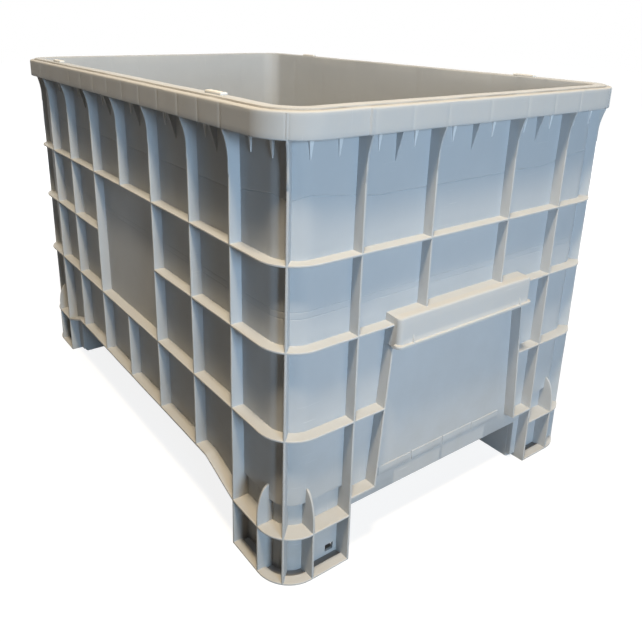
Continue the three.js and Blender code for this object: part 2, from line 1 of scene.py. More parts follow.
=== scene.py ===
# %% [markdown]
# # A plastic pallet box
# The real object is one large injection moulding in light grey polyethylene: four smooth walls, a wide
# rim, a grid of thin ribs on the outside and four hollow feet. It is shown here as a set of closed
# surfaces, each worked out with numpy from the same few sizes, and all of them share one plastic.
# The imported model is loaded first, because its box is the one that every surface has to stay inside.

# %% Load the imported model
import json
import math

import bmesh
import bpy
import numpy as np
from mathutils import Matrix, Vector

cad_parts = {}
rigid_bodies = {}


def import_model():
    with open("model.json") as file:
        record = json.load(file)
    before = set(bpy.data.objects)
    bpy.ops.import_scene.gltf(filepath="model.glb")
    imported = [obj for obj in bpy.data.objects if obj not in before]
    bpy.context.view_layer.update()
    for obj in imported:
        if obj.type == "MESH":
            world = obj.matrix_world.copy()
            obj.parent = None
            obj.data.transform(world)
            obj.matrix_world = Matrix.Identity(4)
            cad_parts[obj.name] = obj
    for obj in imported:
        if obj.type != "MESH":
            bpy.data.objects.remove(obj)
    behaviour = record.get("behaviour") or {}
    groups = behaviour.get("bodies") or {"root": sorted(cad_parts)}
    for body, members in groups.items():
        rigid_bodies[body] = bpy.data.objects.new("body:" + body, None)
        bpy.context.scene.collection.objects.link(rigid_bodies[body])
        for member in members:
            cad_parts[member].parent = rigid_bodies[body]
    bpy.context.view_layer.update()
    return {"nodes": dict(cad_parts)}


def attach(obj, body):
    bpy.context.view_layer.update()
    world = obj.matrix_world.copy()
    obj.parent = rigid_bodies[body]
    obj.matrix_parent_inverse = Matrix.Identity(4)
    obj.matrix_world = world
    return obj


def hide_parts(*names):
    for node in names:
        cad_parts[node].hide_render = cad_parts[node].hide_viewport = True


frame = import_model()

# %% [markdown]
# ## The camera
# A camera is placed by its position and by three directions: where it looks, what is right and what is
# up. They come from lining up the corners, ribs and feet of a box of this size with the photograph.
# The shift moves the picture in its frame, because the box doesn't sit in the middle of it.

# %% Camera
CAMERA_PLACE = (1.28672, -0.87209, 0.89519)
CAMERA_LOOKS = (-0.77120, 0.55732, -0.30765)
CAMERA_RIGHT = (0.58119, 0.81359, 0.01698)
FOCAL_PIXELS = 672.2
FRAME_PIXELS = 642
CENTRE_X = 295.95
CENTRE_Y = 233.80
SENSOR = 36.0


def add_camera():
    """Turns position and directions into a camera: its axes are right, up and backwards."""
    looks = Vector(CAMERA_LOOKS).normalized()
    right = Vector(CAMERA_RIGHT)
    right = (right - looks * right.dot(looks)).normalized()
    up = right.cross(looks)
    turn = Matrix((right, up, -looks)).transposed().to_4x4()
    data = bpy.data.cameras.new("photo_camera")
    data.sensor_width = SENSOR
    data.lens = FOCAL_PIXELS / FRAME_PIXELS * SENSOR
    data.shift_x = (FRAME_PIXELS / 2 - CENTRE_X) / FRAME_PIXELS
    data.shift_y = (CENTRE_Y - FRAME_PIXELS / 2) / FRAME_PIXELS
    camera = bpy.data.objects.new("photo_camera", data)
    camera.matrix_world = Matrix.Translation(CAMERA_PLACE) @ turn
    bpy.context.collection.objects.link(camera)
    bpy.context.scene.camera = camera
    print("lens", round(data.lens, 2), "shift", round(data.shift_x, 4), round(data.shift_y, 4))


add_camera()

# %% [markdown]
# ## Sizes
# All sizes are in millimetres, as on a maker's drawing. The rib line is the rounded rectangle on which
# the outer edges of all ribs lie; every other surface is given by how far it lies outside (+) or
# inside (-) this line, and by its height. Written like this, one profile goes round the whole box.

# %% Sizes in millimetres
RIB_X, RIB_Y = 587.0, 387.0
CORNER = 65.0
BEND_X, BEND_Y = RIB_X - CORNER, RIB_Y - CORNER
ARC = CORNER * math.pi / 2
RIM_TOP, SKIRT = 780.0, 741.0
WALL_OUT, WALL_IN = -19.0, -23.5
DRAFT = 0.006
BOTTOM, FLOOR_UNDER = 124.5, 140.0
LEVELS = (562.0, 427.0, 276.0)
FLANGE = 127.0
SHELF = 92.5
LONG_STATIONS = (0.0, 152.0, 306.0, 441.0)
SHORT_STATIONS = (96.0, 243.0)
LABEL_X, SLOPE_X, FOOT_X, FOOT_Y = 152.0, 344.0, 441.0, 243.0
LEDGE_Y, LEDGE_X, LEDGE_TOP, LEDGE_LOW = 168.0, 600.0, 443.0, 390.0
PANEL_TOP_Y, PANEL_LOW_Y = 165.0, 187.0
CORE_X, CORE_Y = 556.07, 356.07
OPEN_X, OPEN_Y = 409.0, 225.0
MM = 0.001
QUADRANTS = ((1, 1), (-1, 1), (-1, -1), (1, -1))

# %% [markdown]
# ## Skins over rows of sections
# Almost every part of a moulding is a section carried along a line: a rib is its thin round-edged
# section carried round the box or up the wall. If the sections are rows of a grid of points, the skin
# is simply the quads between neighbours, and the two ends are closed with a flat cap. A whole part is
# then one array of points and one array of faces, with no work done point by point.

# %% Grid, loft and piece helpers
def grid_faces(rows, cols, wrap_rows, wrap_cols):
    """Quads of a rows x cols grid: a point, its neighbour in the row, and the same two a row on."""
    i = np.arange(rows if wrap_rows else rows - 1)[:, None]
    j = np.arange(cols if wrap_cols else cols - 1)[None, :]
    nxt_i, nxt_j = (i + 1) % rows, (j + 1) % cols
    corners = (i * cols + j, i * cols + nxt_j, nxt_i * cols + nxt_j, nxt_i * cols + j)
    return np.stack(np.broadcast_arrays(*corners), axis=-1).reshape(-1, 4)


def loft(sections, ring=False):
    """Skin over closed sections (rows, points, 3); a ring joins last to first, else flat caps."""
    rows, cols = sections.shape[:2]
    faces = grid_faces(rows, cols, ring, True).tolist()
    if not ring:
        faces.append(list(range(cols))[::-1])
        faces.append(list(range((rows - 1) * cols, rows * cols)))
    return sections.reshape(-1, 3), faces


def mirrored(*parts):
    """Each skin in all four quadrants: x and y take the signs of each quadrant."""
    return [(points * np.array((sx, sy, 1.0)), faces) for points, faces in parts for sx, sy in QUADRANTS]


SHARP_ANGLE = 38.0  # degrees; a fold steeper than this stays a sharp edge


def add_piece(name, parts):
    """One object from many closed skins: points joined, faces renumbered, normals turned outwards."""
    starts = np.cumsum([0] + [len(points) for points, _ in parts])
    points = np.concatenate([points for points, _ in parts]) * MM
    faces = [[start + k for k in face] for start, (_, fs) in zip(starts, parts) for face in fs]
    mesh = bpy.data.meshes.new(name)
    mesh.from_pydata(points.tolist(), [], faces)
    work = bmesh.new()
    work.from_mesh(mesh)
    bmesh.ops.recalc_face_normals(work, faces=work.faces)
    work.to_mesh(mesh)
    work.free()
    mesh.polygons.foreach_set("use_smooth", np.ones(len(mesh.polygons), dtype=bool))
    mesh.set_sharp_from_angle(angle=math.radians(SHARP_ANGLE))
    piece = bpy.data.objects.new(name, mesh)
    bpy.context.collection.objects.link(piece)
    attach(piece, "root")
    print(name, len(mesh.vertices), "points", len(mesh.polygons), "faces")
    return piece


# %% [markdown]
# ## The line round the box
# A quarter of the rib line starts in the middle of a short side, goes straight, turns the corner and
# runs to the middle of a long side. It is a function of the distance gone, so a rib that covers only a
# part of the way takes only that stretch. The ribs of a real box are never quite straight, because the
# plastic shrinks as it cools; a sum of three slow waves gives that unevenness.

# %% Path round the box
def quarter(s):
    """Straight for BEND_Y, a quarter circle of radius CORNER, straight again: point and normal."""
    angle = np.clip((s - BEND_Y) / CORNER, 0.0, math.pi / 2)
    past = np.clip(s - BEND_Y - ARC, 0.0, None)
    normal = np.stack([np.cos(angle), np.sin(angle)], axis=-1)
    centre = np.stack([BEND_X - past, np.minimum(s, BEND_Y)], axis=-1)
    return centre + CORNER * normal, normal


def on_long(x):
    """Distance along the quarter at which it passes x on the long side."""
    return BEND_Y + ARC + BEND_X - x


SHELL_STEP, RIB_STEP = 8.0, 9.0


def stations(start, end, step, extra):
    """Evenly spread distances from start to end, with some exact ones put in between."""
    even = np.linspace(start, end, max(2, int(abs(end - start) / step) + 1))
    return np.unique(np.concatenate([even, [e for e in extra if start < e < end]]))


WAVE_LENGTHS = np.array((310.0, 127.0, 61.0))
WAVE_WEIGHTS = np.array((0.6, 0.3, 0.15))
WAVE_SHIFTS = np.array((1.7, 2.9, 4.3))


def waves(s, seed, size):
    """Slow unevenness: three sines of unrelated lengths, their phases taken from the seed."""
    phases = seed * WAVE_SHIFTS
    return size * (WAVE_WEIGHTS * np.sin(s[..., None] * 2 * math.pi / WAVE_LENGTHS + phases)).sum(-1)


def along(s, out, z):
    """Points of sections round the box: out is measured from the rib line along its normal."""
    place, normal = quarter(s)
    plan = place[:, None, :] + out[..., None] * normal[:, None, :]
    return np.concatenate([plan, np.broadcast_to(z, out.shape)[..., None]], axis=-1)


ROUND_STEPS = 4
ROOT_FAT = 0.45  # a rib is this much thicker to each side at its root, as its draft makes it
EDGE_ROUND = 1.3
MOST_ROUND = 0.9  # the rounding takes at most this share of the half thickness


def rib_section(root, edge, half, fat, rounding):
    """Round-edged rib section: root and edge reach, half thickness, and how much fatter the root is.

    From one side of the root out to the edge, round it in two quarter circles, and back.
    """
    root, edge, half = np.broadcast_arrays(*map(np.atleast_1d, (root, edge, half)))
    turn = np.linspace(0.0, math.pi / 2, ROUND_STEPS + 1)
    small = np.minimum(rounding, half * MOST_ROUND)[:, None]
    rise = edge[:, None] - small + small * np.sin(turn)
    side = half[:, None] + small * (np.cos(turn) - 1.0)
    out = np.concatenate([root[:, None], rise, rise[:, ::-1], root[:, None]], axis=1)
    base = (half + fat)[:, None]
    across = np.concatenate([base, side, -side[:, ::-1], -base], axis=1)
    return out, across


END_S = on_long(0.0)
print("quarter of the rib line is", round(END_S, 1), "mm long")

# %% [markdown]
# ## The shell: walls, rim, floor
# On the real box the walls, the rim and the floor are one skin about 4.5 mm thick. Its section starts
# under the floor, goes down the inside of the bottom edge, up the outer wall, out under the rim, down
# and up the skirt, over the lip and the raised band, and down the inside to the floor. The same
# section goes round the box; only its lowest points follow the slope beside the feet. Fine
# grooves on the wall are where the parts of the mould meet, so a few rows of points follow them.

# %% Shell section
WITNESS = 643.0
TWIN_LOW, TWIN_HIGH = 472.0, 483.0
TWIN_SHARE = 0.45  # the twin grooves are this share as deep as the single one
LINE_HALF, LINE_DEPTH = 0.9, 0.8
INNER_BOW = 0.6  # the inside follows this share of the outside's unevenness
LOWER_WALL = (143.0, 160.0, 190.0, 230.0, 276.0, 320.0, 360.0, 400.0, 427.0, 450.0)
MIDDLE_WALL = (505.0, 535.0, 562.0, 590.0, 615.0)
UPPER_WALL = (675.0, 700.0, 730.0, 755.0, 771.0)
INNER_WALL = (780.0, 755.0, 700.0, 650.0, 600.0, 550.0, 500.0, 450.0, 400.0, 350.0, 300.0, 250.0, 200.0,
              158.0)
UNDER_LIP = ((-18.3, 774.2), (-16.5, 775.5))
SKIRT_BACK = ((6.5, 775.5), (8.4, 775.0), (9.0, 773.5), (9.2, 758.0), (9.4, 742.2), (9.9, 741.2))
SKIRT_EDGE = ((10.8, 741.0), (12.2, 741.1), (12.8, 741.7), (13.0, 742.8))
SKIRT_FACE = ((13.0, 750.0), (13.0, 758.0), (13.0, 766.0), (13.0, 772.0), (13.0, 776.4))
LIP_EDGE = ((12.7, 778.0), (11.9, 779.2), (10.6, 779.85), (9.0, 780.0))
BAND_FACE = ((3.0, 780.0), (1.2, 780.1), (0.4, 780.7), (0.1, 781.8), (-0.3, 782.6), (-1.2, 783.0))
BAND_CREST = ((-8.0, 783.0), (-15.0, 783.0), (-20.8, 783.0), (-22.2, 782.7), (-23.1, 781.8))
COVE_OUT, COVE_TOP, COVE = -27.3, 156.0, 11.0
FLOOR_EDGE = ((WALL_IN - 4.5, FLOOR_UNDER), (WALL_IN - 3.85, FLOOR_UNDER))
LOWER_EDGE = ((WALL_IN - 3.95, BOTTOM + 1.0), (WALL_IN - 3.2, BOTTOM), (WALL_OUT - 4.7, BOTTOM))


def line_rows(z):
    """Five rows for one fine groove: its edge on each side, its flanks and its bottom."""
    rows = [(z - 2.5 * LINE_HALF, 0.0), (z - LINE_HALF, 0.1), (z, 1.0)]
    return rows + [(z + LINE_HALF, 0.1), (z + 2.5 * LINE_HALF, 0.0)]


def shell_columns():
    """Rows of the shell's section as arrays: reach out, height, and six weights that bend it."""
    cols = []

    def put(points, low=0.0, line=0.0, rise=0.0, wall=0.0, rim=0.0, inner=0.0):
        """Points (reach out, height) that share the same weights."""
        cols.extend((out, z, low, line, rise, wall, rim, inner) for out, z in points)

    def wall(heights, **weights):
        """Points of the wall's outside, which leans by its draft."""
        put([(WALL_OUT - DRAFT * (RIM_TOP - z), z) for z in heights], wall=1.0, **weights)

    put(FLOOR_EDGE)
    put(LOWER_EDGE, low=1.0)
    wall([BOTTOM + 1.0], low=1.0)
    wall(LOWER_WALL)
    for z, depth in line_rows(TWIN_LOW) + line_rows(TWIN_HIGH):
        wall([z], line=TWIN_SHARE * depth)
    wall(MIDDLE_WALL)
    for z, depth in line_rows(WITNESS):
        wall([z], line=depth, rise=1.0)
    wall(UPPER_WALL)
    put(UNDER_LIP)
    put(SKIRT_BACK + SKIRT_EDGE + SKIRT_FACE + LIP_EDGE, rim=1.0)
    put(BAND_FACE + BAND_CREST)
    put([(WALL_IN - DRAFT * (RIM_TOP - z), z) for z in INNER_WALL], wall=INNER_BOW, inner=1.0)
    turn = np.linspace(0.0, math.pi / 2, 6)
    put(zip(COVE_OUT - COVE * (1 - np.cos(turn)), COVE_TOP - COVE * np.sin(turn)))
    return np.array(cols).T


PROUD = 2.5
PROUD_END, PROUD_RAMP = 250.0, 2.0


def proud(s):
    """The rim is set back at the corners: 0 in the middle of a short side, PROUD at its ends."""
    angle = np.clip((s - BEND_Y) / CORNER, 0.0, math.pi / 2)
    ramp = np.clip((s - PROUD_END) / PROUD_RAMP, 0.0, 1.0)
    return -PROUD * ramp * np.cos(angle)


def lowest(s):
    """Height of the wall's lower edge: level, higher over a foot, sloping down beside it."""
    x = np.clip(END_S - s, 0.0, None)
    slope = np.clip((x - SLOPE_X) / (FOOT_X - SLOPE_X), 0.0, 1.0)
    over_foot = (s > FOOT_Y) & (x > FOOT_X)
    return np.where(over_foot, FLOOR_UNDER, BOTTOM - (FLANGE - SHELF) * slope)


CLIMB, CLIMB_FROM, CLIMB_RUN = 17.0, 170.0, 130.0
DIP, DIP_HALF = 9.0, 40.0


def line_rise(s):
    """The groove climbs slowly towards the corner and dips to a V at the corner's own rib."""
    to_corner = np.abs(s - BEND_Y - ARC / 2)
    climb = CLIMB * np.clip((CLIMB_FROM - to_corner) / CLIMB_RUN, 0.0, 1.0)
    return climb - DIP * np.clip(1.0 - to_corner / DIP_HALF, 0.0, 1.0)


def mark_places():
    """Distances along the quarter of every rib and fin that joins the skirt from behind."""
    long_places = [on_long(x) for x in np.linspace(0.0, LONG_STATIONS[2], 5)]
    outer_bay = (LONG_STATIONS[2] + LONG_STATIONS[3]) / 2
    short_places = [0.0, SHORT_STATIONS[0], sum(SHORT_STATIONS) / 2, SHORT_STATIONS[1]]
    ends = [on_long(outer_bay), on_long(LONG_STATIONS[3]), BEND_Y + ARC / 2]
    return np.array(long_places + short_places + ends)


MARK_DEPTH, MARK_HALF = 0.7, 2.6
MARK_STEPS = (-4.5, -2.0, 0.0, 2.0, 4.5)
INNER_MARK = 0.35  # the same marks show on the inside at this share of their depth


def skirt_marks(s):
    """Sink marks on the skirt: a narrow dip in front of each rib and fin behind it."""
    gaps = np.abs(s[:, None] - mark_places())
    return -MARK_DEPTH * np.exp(-((gaps / MARK_HALF) ** 2)).sum(-1)


def mark_stations():
    """Extra stations close to each sink mark, so that the dip is drawn with five points."""
    return tuple(np.add.outer(mark_places(), MARK_STEPS).ravel())


def closed_loop(grid):
    """Four mirrored quarters in order round the box, without the points where they meet twice."""
    quarters = []
    for sx, sy in QUADRANTS:
        turned = grid if sx * sy > 0 else grid[::-1]
        quarters.append(turned[:-1] * np.array((sx, sy, 1.0)))
    return np.concatenate(quarters)


STEP_HALF = 0.3  # two stations this far on each side of a place draw a step there
FADE = 60.0  # the unevenness fades out over this length, so that mirrored quarters meet
BOW, SKIRT_SWAY, RIM_SWAY = 0.45, 0.4, 0.3
SKIRT_INSET, SKIRT_SAG, RIM_INSET = 0.15, 0.35, 0.35
RIM_ROWS = 779.0  # rows above this height belong to the rim's upper side


def make_shell():
    """Section rows times stations round the box, closed by the floor and the underside."""
    out0, z0, low, line, rise, wall, rim, inner = shell_columns()
    steps = np.add.outer((FOOT_Y, on_long(FOOT_X)), (-STEP_HALF, STEP_HALF)).ravel()
    exact = (*steps, PROUD_END, PROUD_END + PROUD_RAMP, on_long(SLOPE_X), BEND_Y, BEND_Y + ARC)
    s = stations(0.0, END_S, SHELL_STEP, exact + mark_stations())
    column = s[:, None]
    fade = np.clip(np.minimum(s, END_S - s) / FADE, 0.0, 1.0)[:, None]
    bow = fade * waves(column + 0.7 * z0, 3.0, BOW)
    marks = skirt_marks(s)[:, None]
    set_back = proud(s)[:, None] - SKIRT_INSET + marks + fade * (waves(column, 5.0, SKIRT_SWAY) - SKIRT_SAG)
    out = out0 - line * LINE_DEPTH + wall * bow + rim * set_back - INNER_MARK * inner * marks
    z = z0 + low * (lowest(s)[:, None] - BOTTOM) + rise * line_rise(s)[:, None]
    z = z + np.where(z0 > RIM_ROWS, fade * waves(column, 9.0, RIM_SWAY) - RIM_INSET, 0.0)
    grid = closed_loop(along(s, out, z))
    rows, cols = grid.shape[:2]
    faces = grid_faces(rows, cols, True, False).tolist()
    faces.append((np.arange(rows) * cols).tolist())
    faces.append((np.arange(rows) * cols + cols - 1).tolist()[::-1])
    return add_piece("shell", [(grid.reshape(-1, 3), faces)])


shell = make_shell()
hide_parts("box_body")

# %% [markdown]
# ## Level ribs
# A level rib is one thin round-edged section carried round the box. It could be one ring for each
# height, but the middle one stops at the label field and at the handle, so every rib is a stretch of
# the quarter line, mirrored four times, and its ends are buried in the upright ribs.

# %% Level ribs, edge flange and the feet's rings
IN_WALL = -21.5
RIB_HALF, FLANGE_HALF = 2.0, 2.5
RIB_WANDER, RIB_SWAY, FLANGE_SWAY = 0.35, 0.55, 0.2
RIB_INSET = 0.35
FOOT_ROOT, RING_ROOT = -33.0, -17.5
SLANTED_SHIFT, LOW_SHIFT = 2.0, 11.7  # the panel's slanted ribs lie this far past its upper corners


def wall_middle(z):
    """Reach of the middle of the wall at a height, measured from the rib line."""
    return IN_WALL - DRAFT * (RIM_TOP - z)


def level_stretch(start, end, height, seed, root=None, half=RIB_HALF, sway=RIB_SWAY, fat=ROOT_FAT,
                  extra=()):
    """A rib between two distances along the quarter; height is a number or a function of distance."""
    s = stations(start, end, RIB_STEP, (BEND_Y, BEND_Y + ARC, *extra))
    edge = waves(s, seed + 4.0, RIB_WANDER) - RIB_INSET
    middle = height(s) if callable(height) else np.full_like(s, height)
    roots = wall_middle(middle) if root is None else root
    out, across = rib_section(roots, edge, half, fat, EDGE_ROUND)
    bend = np.clip((out - IN_WALL) / (-IN_WALL), 0.0, 1.0)
    z = middle[:, None] + across + bend * waves(s, seed, sway)[:, None]
    return loft(along(s, out, z))


def flange_height(s):
    """The edge flange follows the wall's lower edge, half its own thickness above it."""
    return lowest(np.minimum(s, END_S)) + (FLANGE - BOTTOM)


def make_level_ribs():
    """Three ribs, the flange along the lower edge, and each foot's shelf and ground ring."""
    foot = on_long(FOOT_X)
    upper, middle, lower = LEVELS
    flange = {"half": FLANGE_HALF, "sway": FLANGE_SWAY}
    add_piece("level_ribs", mirrored(
        level_stretch(0.0, END_S, upper, 1.0),
        level_stretch(PANEL_TOP_Y + SLANTED_SHIFT, on_long(LABEL_X), middle, 2.0),
        level_stretch(PANEL_TOP_Y + LOW_SHIFT, END_S, lower, 3.0),
        level_stretch(PANEL_LOW_Y + SLANTED_SHIFT, FOOT_Y, FLANGE, 4.0, **flange),
        level_stretch(foot + 1.0, END_S, flange_height, 1.0, extra=(on_long(SLOPE_X),), **flange),
        level_stretch(FOOT_Y, foot, SHELF, 6.0, root=FOOT_ROOT, sway=FLANGE_SWAY),
        level_stretch(FOOT_Y, foot, RIB_HALF, 7.0, root=RING_ROOT, sway=0.0, fat=0.0),
    ))


make_level_ribs()

# %% [markdown]
# ## Upright ribs
# An upright rib is a blade: at each height it has the same round-edged section, lying flat, and only
# its reach changes. It stands straight on the rib line, steps out a little where two parts of the
# mould meet, and flares into the skirt below the rim. The foot's own ribs go down to the ground.

# %% Blades
def blade(place, turn, z, root, edge, half, shift=0.0, fat=ROOT_FAT, rounding=EDGE_ROUND):
    """Upright plate: flat sections at heights z, standing at place and looking along turn (rad)."""
    z = np.asarray(z, dtype=float)
    out, across = rib_section(
        np.broadcast_to(root, z.shape), np.broadcast_to(edge, z.shape),
        np.broadcast_to(half, z.shape), fat, rounding,
    )
    side = across + np.broadcast_to(shift, z.shape)[:, None]
    looks = np.array((math.cos(turn), math.sin(turn)))
    beside = np.array((-math.sin(turn), math.cos(turn)))
    plan = np.array(place) + out[..., None] * looks + side[..., None] * beside
    heights = np.broadcast_to(z[:, None, None], out.shape + (1,))
    return loft(np.concatenate([plan, heights], axis=-1))


RIB_TOP = 777.0  # inside the rim
RIB_BOTTOM = BOTTOM + 0.3
EDGE_INSET = 0.5  # upright ribs end this far inside the rib line
STEP_Z, STEP_OUT, STEP_SHARP = 673.5, 0.9, 0.6
FLARE_LOW, FLARE = 691.0, 10.6
FOOT_TOP = 141.0  # under this height a foot's rib reaches in to the core
FOOT_ROWS = (0.9, 139.0, 142.5)
WORN_EDGE = 0.8


def upright(place, turn, low, seed, line=0.0, foot=False):
    """A rib on the rib line (line mm from place): step, flare, and a deeper root below the floor."""
    z = np.concatenate([
        np.linspace(low, STEP_Z - 4.0, max(3, int((STEP_Z - low) / 22.0))),
        (STEP_Z - STEP_SHARP, STEP_Z + STEP_SHARP),
        np.linspace(FLARE_LOW, RIB_TOP, 12),
        FOOT_ROWS if foot else (),
    ])
    z = np.sort(z)
    flare = np.clip((z - FLARE_LOW) / (SKIRT - FLARE_LOW), 0.0, 1.0) ** 2
    edge = line - EDGE_INSET + waves(z, seed, RIB_WANDER) + FLARE * flare + STEP_OUT * (z > STEP_Z)
    edge = edge - WORN_EDGE * (z < 0.5) * foot
    root = np.where((z < FOOT_TOP) & foot, line + FOOT_ROOT, line + wall_middle(z))
    return blade(place, turn, z, root, edge, RIB_HALF)


def make_upright_ribs():
    """Ribs of both long sides, both short sides and the four corners' diagonals."""
    up = math.pi / 2
    long_ribs = [
        upright((x, RIB_Y), up, 0.0 if x == FOOT_X else RIB_BOTTOM, x, foot=x == FOOT_X)
        for x in LONG_STATIONS[1:]
    ]
    z = np.linspace(RIB_BOTTOM, LEVELS[2] + 1.0, 9)
    middle_low = blade((0.0, RIB_Y), up, z, wall_middle(z), -EDGE_INSET, RIB_HALF)
    middle_high = upright((0.0, RIB_Y), up, LEVELS[0], 2.0)
    inner_y, foot_y = SHORT_STATIONS
    add_piece("upright_ribs", [
        *mirrored(*long_ribs),
        *mirrored(middle_low, middle_high)[::2],
        *mirrored(
            upright((RIB_X, inner_y), 0.0, LEDGE_TOP - 2.5, 3.0),
            upright((RIB_X, foot_y), 0.0, 0.0, 4.0, foot=True),
            upright((BEND_X, BEND_Y), math.pi / 4, 0.0, 5.0, line=CORNER, foot=True),
        ),
    ])


make_upright_ribs()

# %% [markdown]
# ## Gussets under the skirt
# The skirt of the rim hangs 32 mm in front of the wall. Between two upright ribs it is tied to the
# wall by one thin fin and by shallow pointed teeth, which are wide at the rim and come to a narrow
# tip. The teeth are a piece of their own with a paler grey, which is painted light: it makes them
# look lit against the wall in the shade of the rim.

# %% Fins and teeth
IN_PLASTIC = -2.0  # roots of small parts lie this far inside the wall
GUSSET_TOP = 776.0
TOOTH_TIP, TOOTH_RUN = 710.0, 31.0
TOOTH_ROWS = (709.6, 710.4, 713.0, 722.0, 732.0, 741.0, 750.0)
TIP_HALF, TIP_REACH, TIP_ROUND = 0.9, 0.8, 0.4
TOOTH_WIDEN, TOOTH_DEEPEN = 3.2, 3.4
FIN_LOW, FIN_RUN, FIN_DEEPEN, FIN_CURVE, FIN_HALF = 692.0, 49.0, 14.0, 1.15, 1.6


def tooth(place, turn):
    """A shallow wedge with a pointed tip, wider and a little deeper the nearer it is to the skirt."""
    z = np.array((*TOOTH_ROWS, GUSSET_TOP))
    share = np.clip((z - TOOTH_TIP) / TOOTH_RUN, 0.0, 1.0)
    tip = TIP_ROUND * (z < TOOTH_TIP)
    half = TIP_HALF + TOOTH_WIDEN * share - tip
    reach = TIP_REACH + TOOTH_DEEPEN * share - tip
    return blade(place, turn, z, IN_PLASTIC, reach, half, fat=0.2, rounding=0.9)


def fin(place, turn):
    """A thin blade that runs back to the wall 49 mm below the skirt."""
    z = np.append(np.linspace(FIN_LOW, SKIRT, 10), GUSSET_TOP)
    reach = TIP_REACH + FIN_DEEPEN * np.clip((z - FIN_LOW) / FIN_RUN, 0.0, 1.0) ** FIN_CURVE
    return blade(place, turn, z, IN_PLASTIC, reach, FIN_HALF, fat=0.3, rounding=1.0)


PAST_RIB = 34.0  # one tooth stands this far past the last rib of a long side
CORNER_TEETH = (10.0, 80.0)  # degrees round the corner


def make_gussets():
    """One fin in the middle of each bay; teeth at its quarters and round the corner."""
    wall_x, wall_y = RIB_X + WALL_OUT, RIB_Y + WALL_OUT
    up = math.pi / 2
    fins, teeth = [], []
    for near, far in zip(LONG_STATIONS, LONG_STATIONS[1:]):
        middle, quarter_bay = (near + far) / 2, (far - near) / 4
        fins.append(fin((middle, wall_y), up))
        teeth += [tooth((x, wall_y), up) for x in (middle - quarter_bay, middle + quarter_bay)]
    inner_y, foot_y = SHORT_STATIONS
    middle, quarter_bay = (inner_y + foot_y) / 2, (foot_y - inner_y) / 4
    fins.append(fin((wall_x, middle), 0.0))
    beside = (middle - quarter_bay, middle + quarter_bay, inner_y / 2, foot_y + quarter_bay)
    teeth += [tooth((wall_x, y), 0.0) for y in beside]
    teeth.append(tooth((LONG_STATIONS[3] + PAST_RIB, wall_y), up))
    radius = CORNER + WALL_OUT
    for turn in map(math.radians, CORNER_TEETH):
        teeth.append(tooth((BEND_X + radius * math.cos(turn), BEND_Y + radius * math.sin(turn)), turn))
    add_piece("skirt_fins", mirrored(*fins) + mirrored(fin((wall_x, 0.0), 0.0))[:2])
    add_piece("skirt_teeth", mirrored(*teeth))


make_gussets()

# %% [markdown]
# ## Handles
# Each short side has a ledge to lift by: a hollow shelf, open below, with a lip along its lower edge.
# Its section is a hook, and it is carried straight along the side. Near each end the hook is squeezed
# in, so the corners come out round, and past the end wall the hollow is filled.

# %% Ledges
LEDGE_ROUND = 9.0
LEDGE_SKIN = 4.5
LEDGE_LIP = 4.3
LEDGE_BACK = 563.6
LEDGE_FOLD = 4.0  # radius between the ledge's top and its face
LEDGE_FILL = 1.2  # the closed ends are solid down to this far above the lip's edge
LEDGE_DROP, DROP_RUN = 1.4, 4.0  # the face's upper edge sinks by this at the ledge's ends
LIP_TOP = 396.0
BEHIND = 580.0  # points nearer the wall than this don't follow the round ends
TIE_Y, TIE_HALF, TIE_REACH = 137.0, 1.5, 3.6
TIE_ROWS = np.array((393.0, 395.5, 402.0, 408.5))


def ledge_section():
    """Hook from the wall over the top, down the face, round the lip and back up inside."""
    fold = np.linspace(0.0, math.pi / 2, 5)
    fold_x, fold_z = LEDGE_X - LEDGE_FOLD, LEDGE_TOP - LEDGE_FOLD
    lip_x = LEDGE_X + LEDGE_LIP
    inner_x, inner_z = LEDGE_X - LEDGE_SKIN, LEDGE_TOP - LEDGE_SKIN
    outer = [(LEDGE_BACK, LEDGE_TOP)]
    outer += [(fold_x + LEDGE_FOLD * math.sin(t), fold_z + LEDGE_FOLD * math.cos(t)) for t in fold]
    outer += [(LEDGE_X, 425.0), (LEDGE_X, 405.0), (LEDGE_X, LIP_TOP), (LEDGE_X + 0.6, 395.2)]
    outer += [(lip_x - 0.8, 395.0), (lip_x, 394.2), (lip_x, 390.9), (lip_x - 0.8, LEDGE_LOW)]
    outer += [(inner_x + 0.6, LEDGE_LOW), (inner_x, LEDGE_LOW + 0.7)]
    hollow = [(inner_x, inner_z - 2.0), (inner_x - 2.0, inner_z), (LEDGE_BACK, inner_z)]
    return np.array(outer), np.array(hollow)


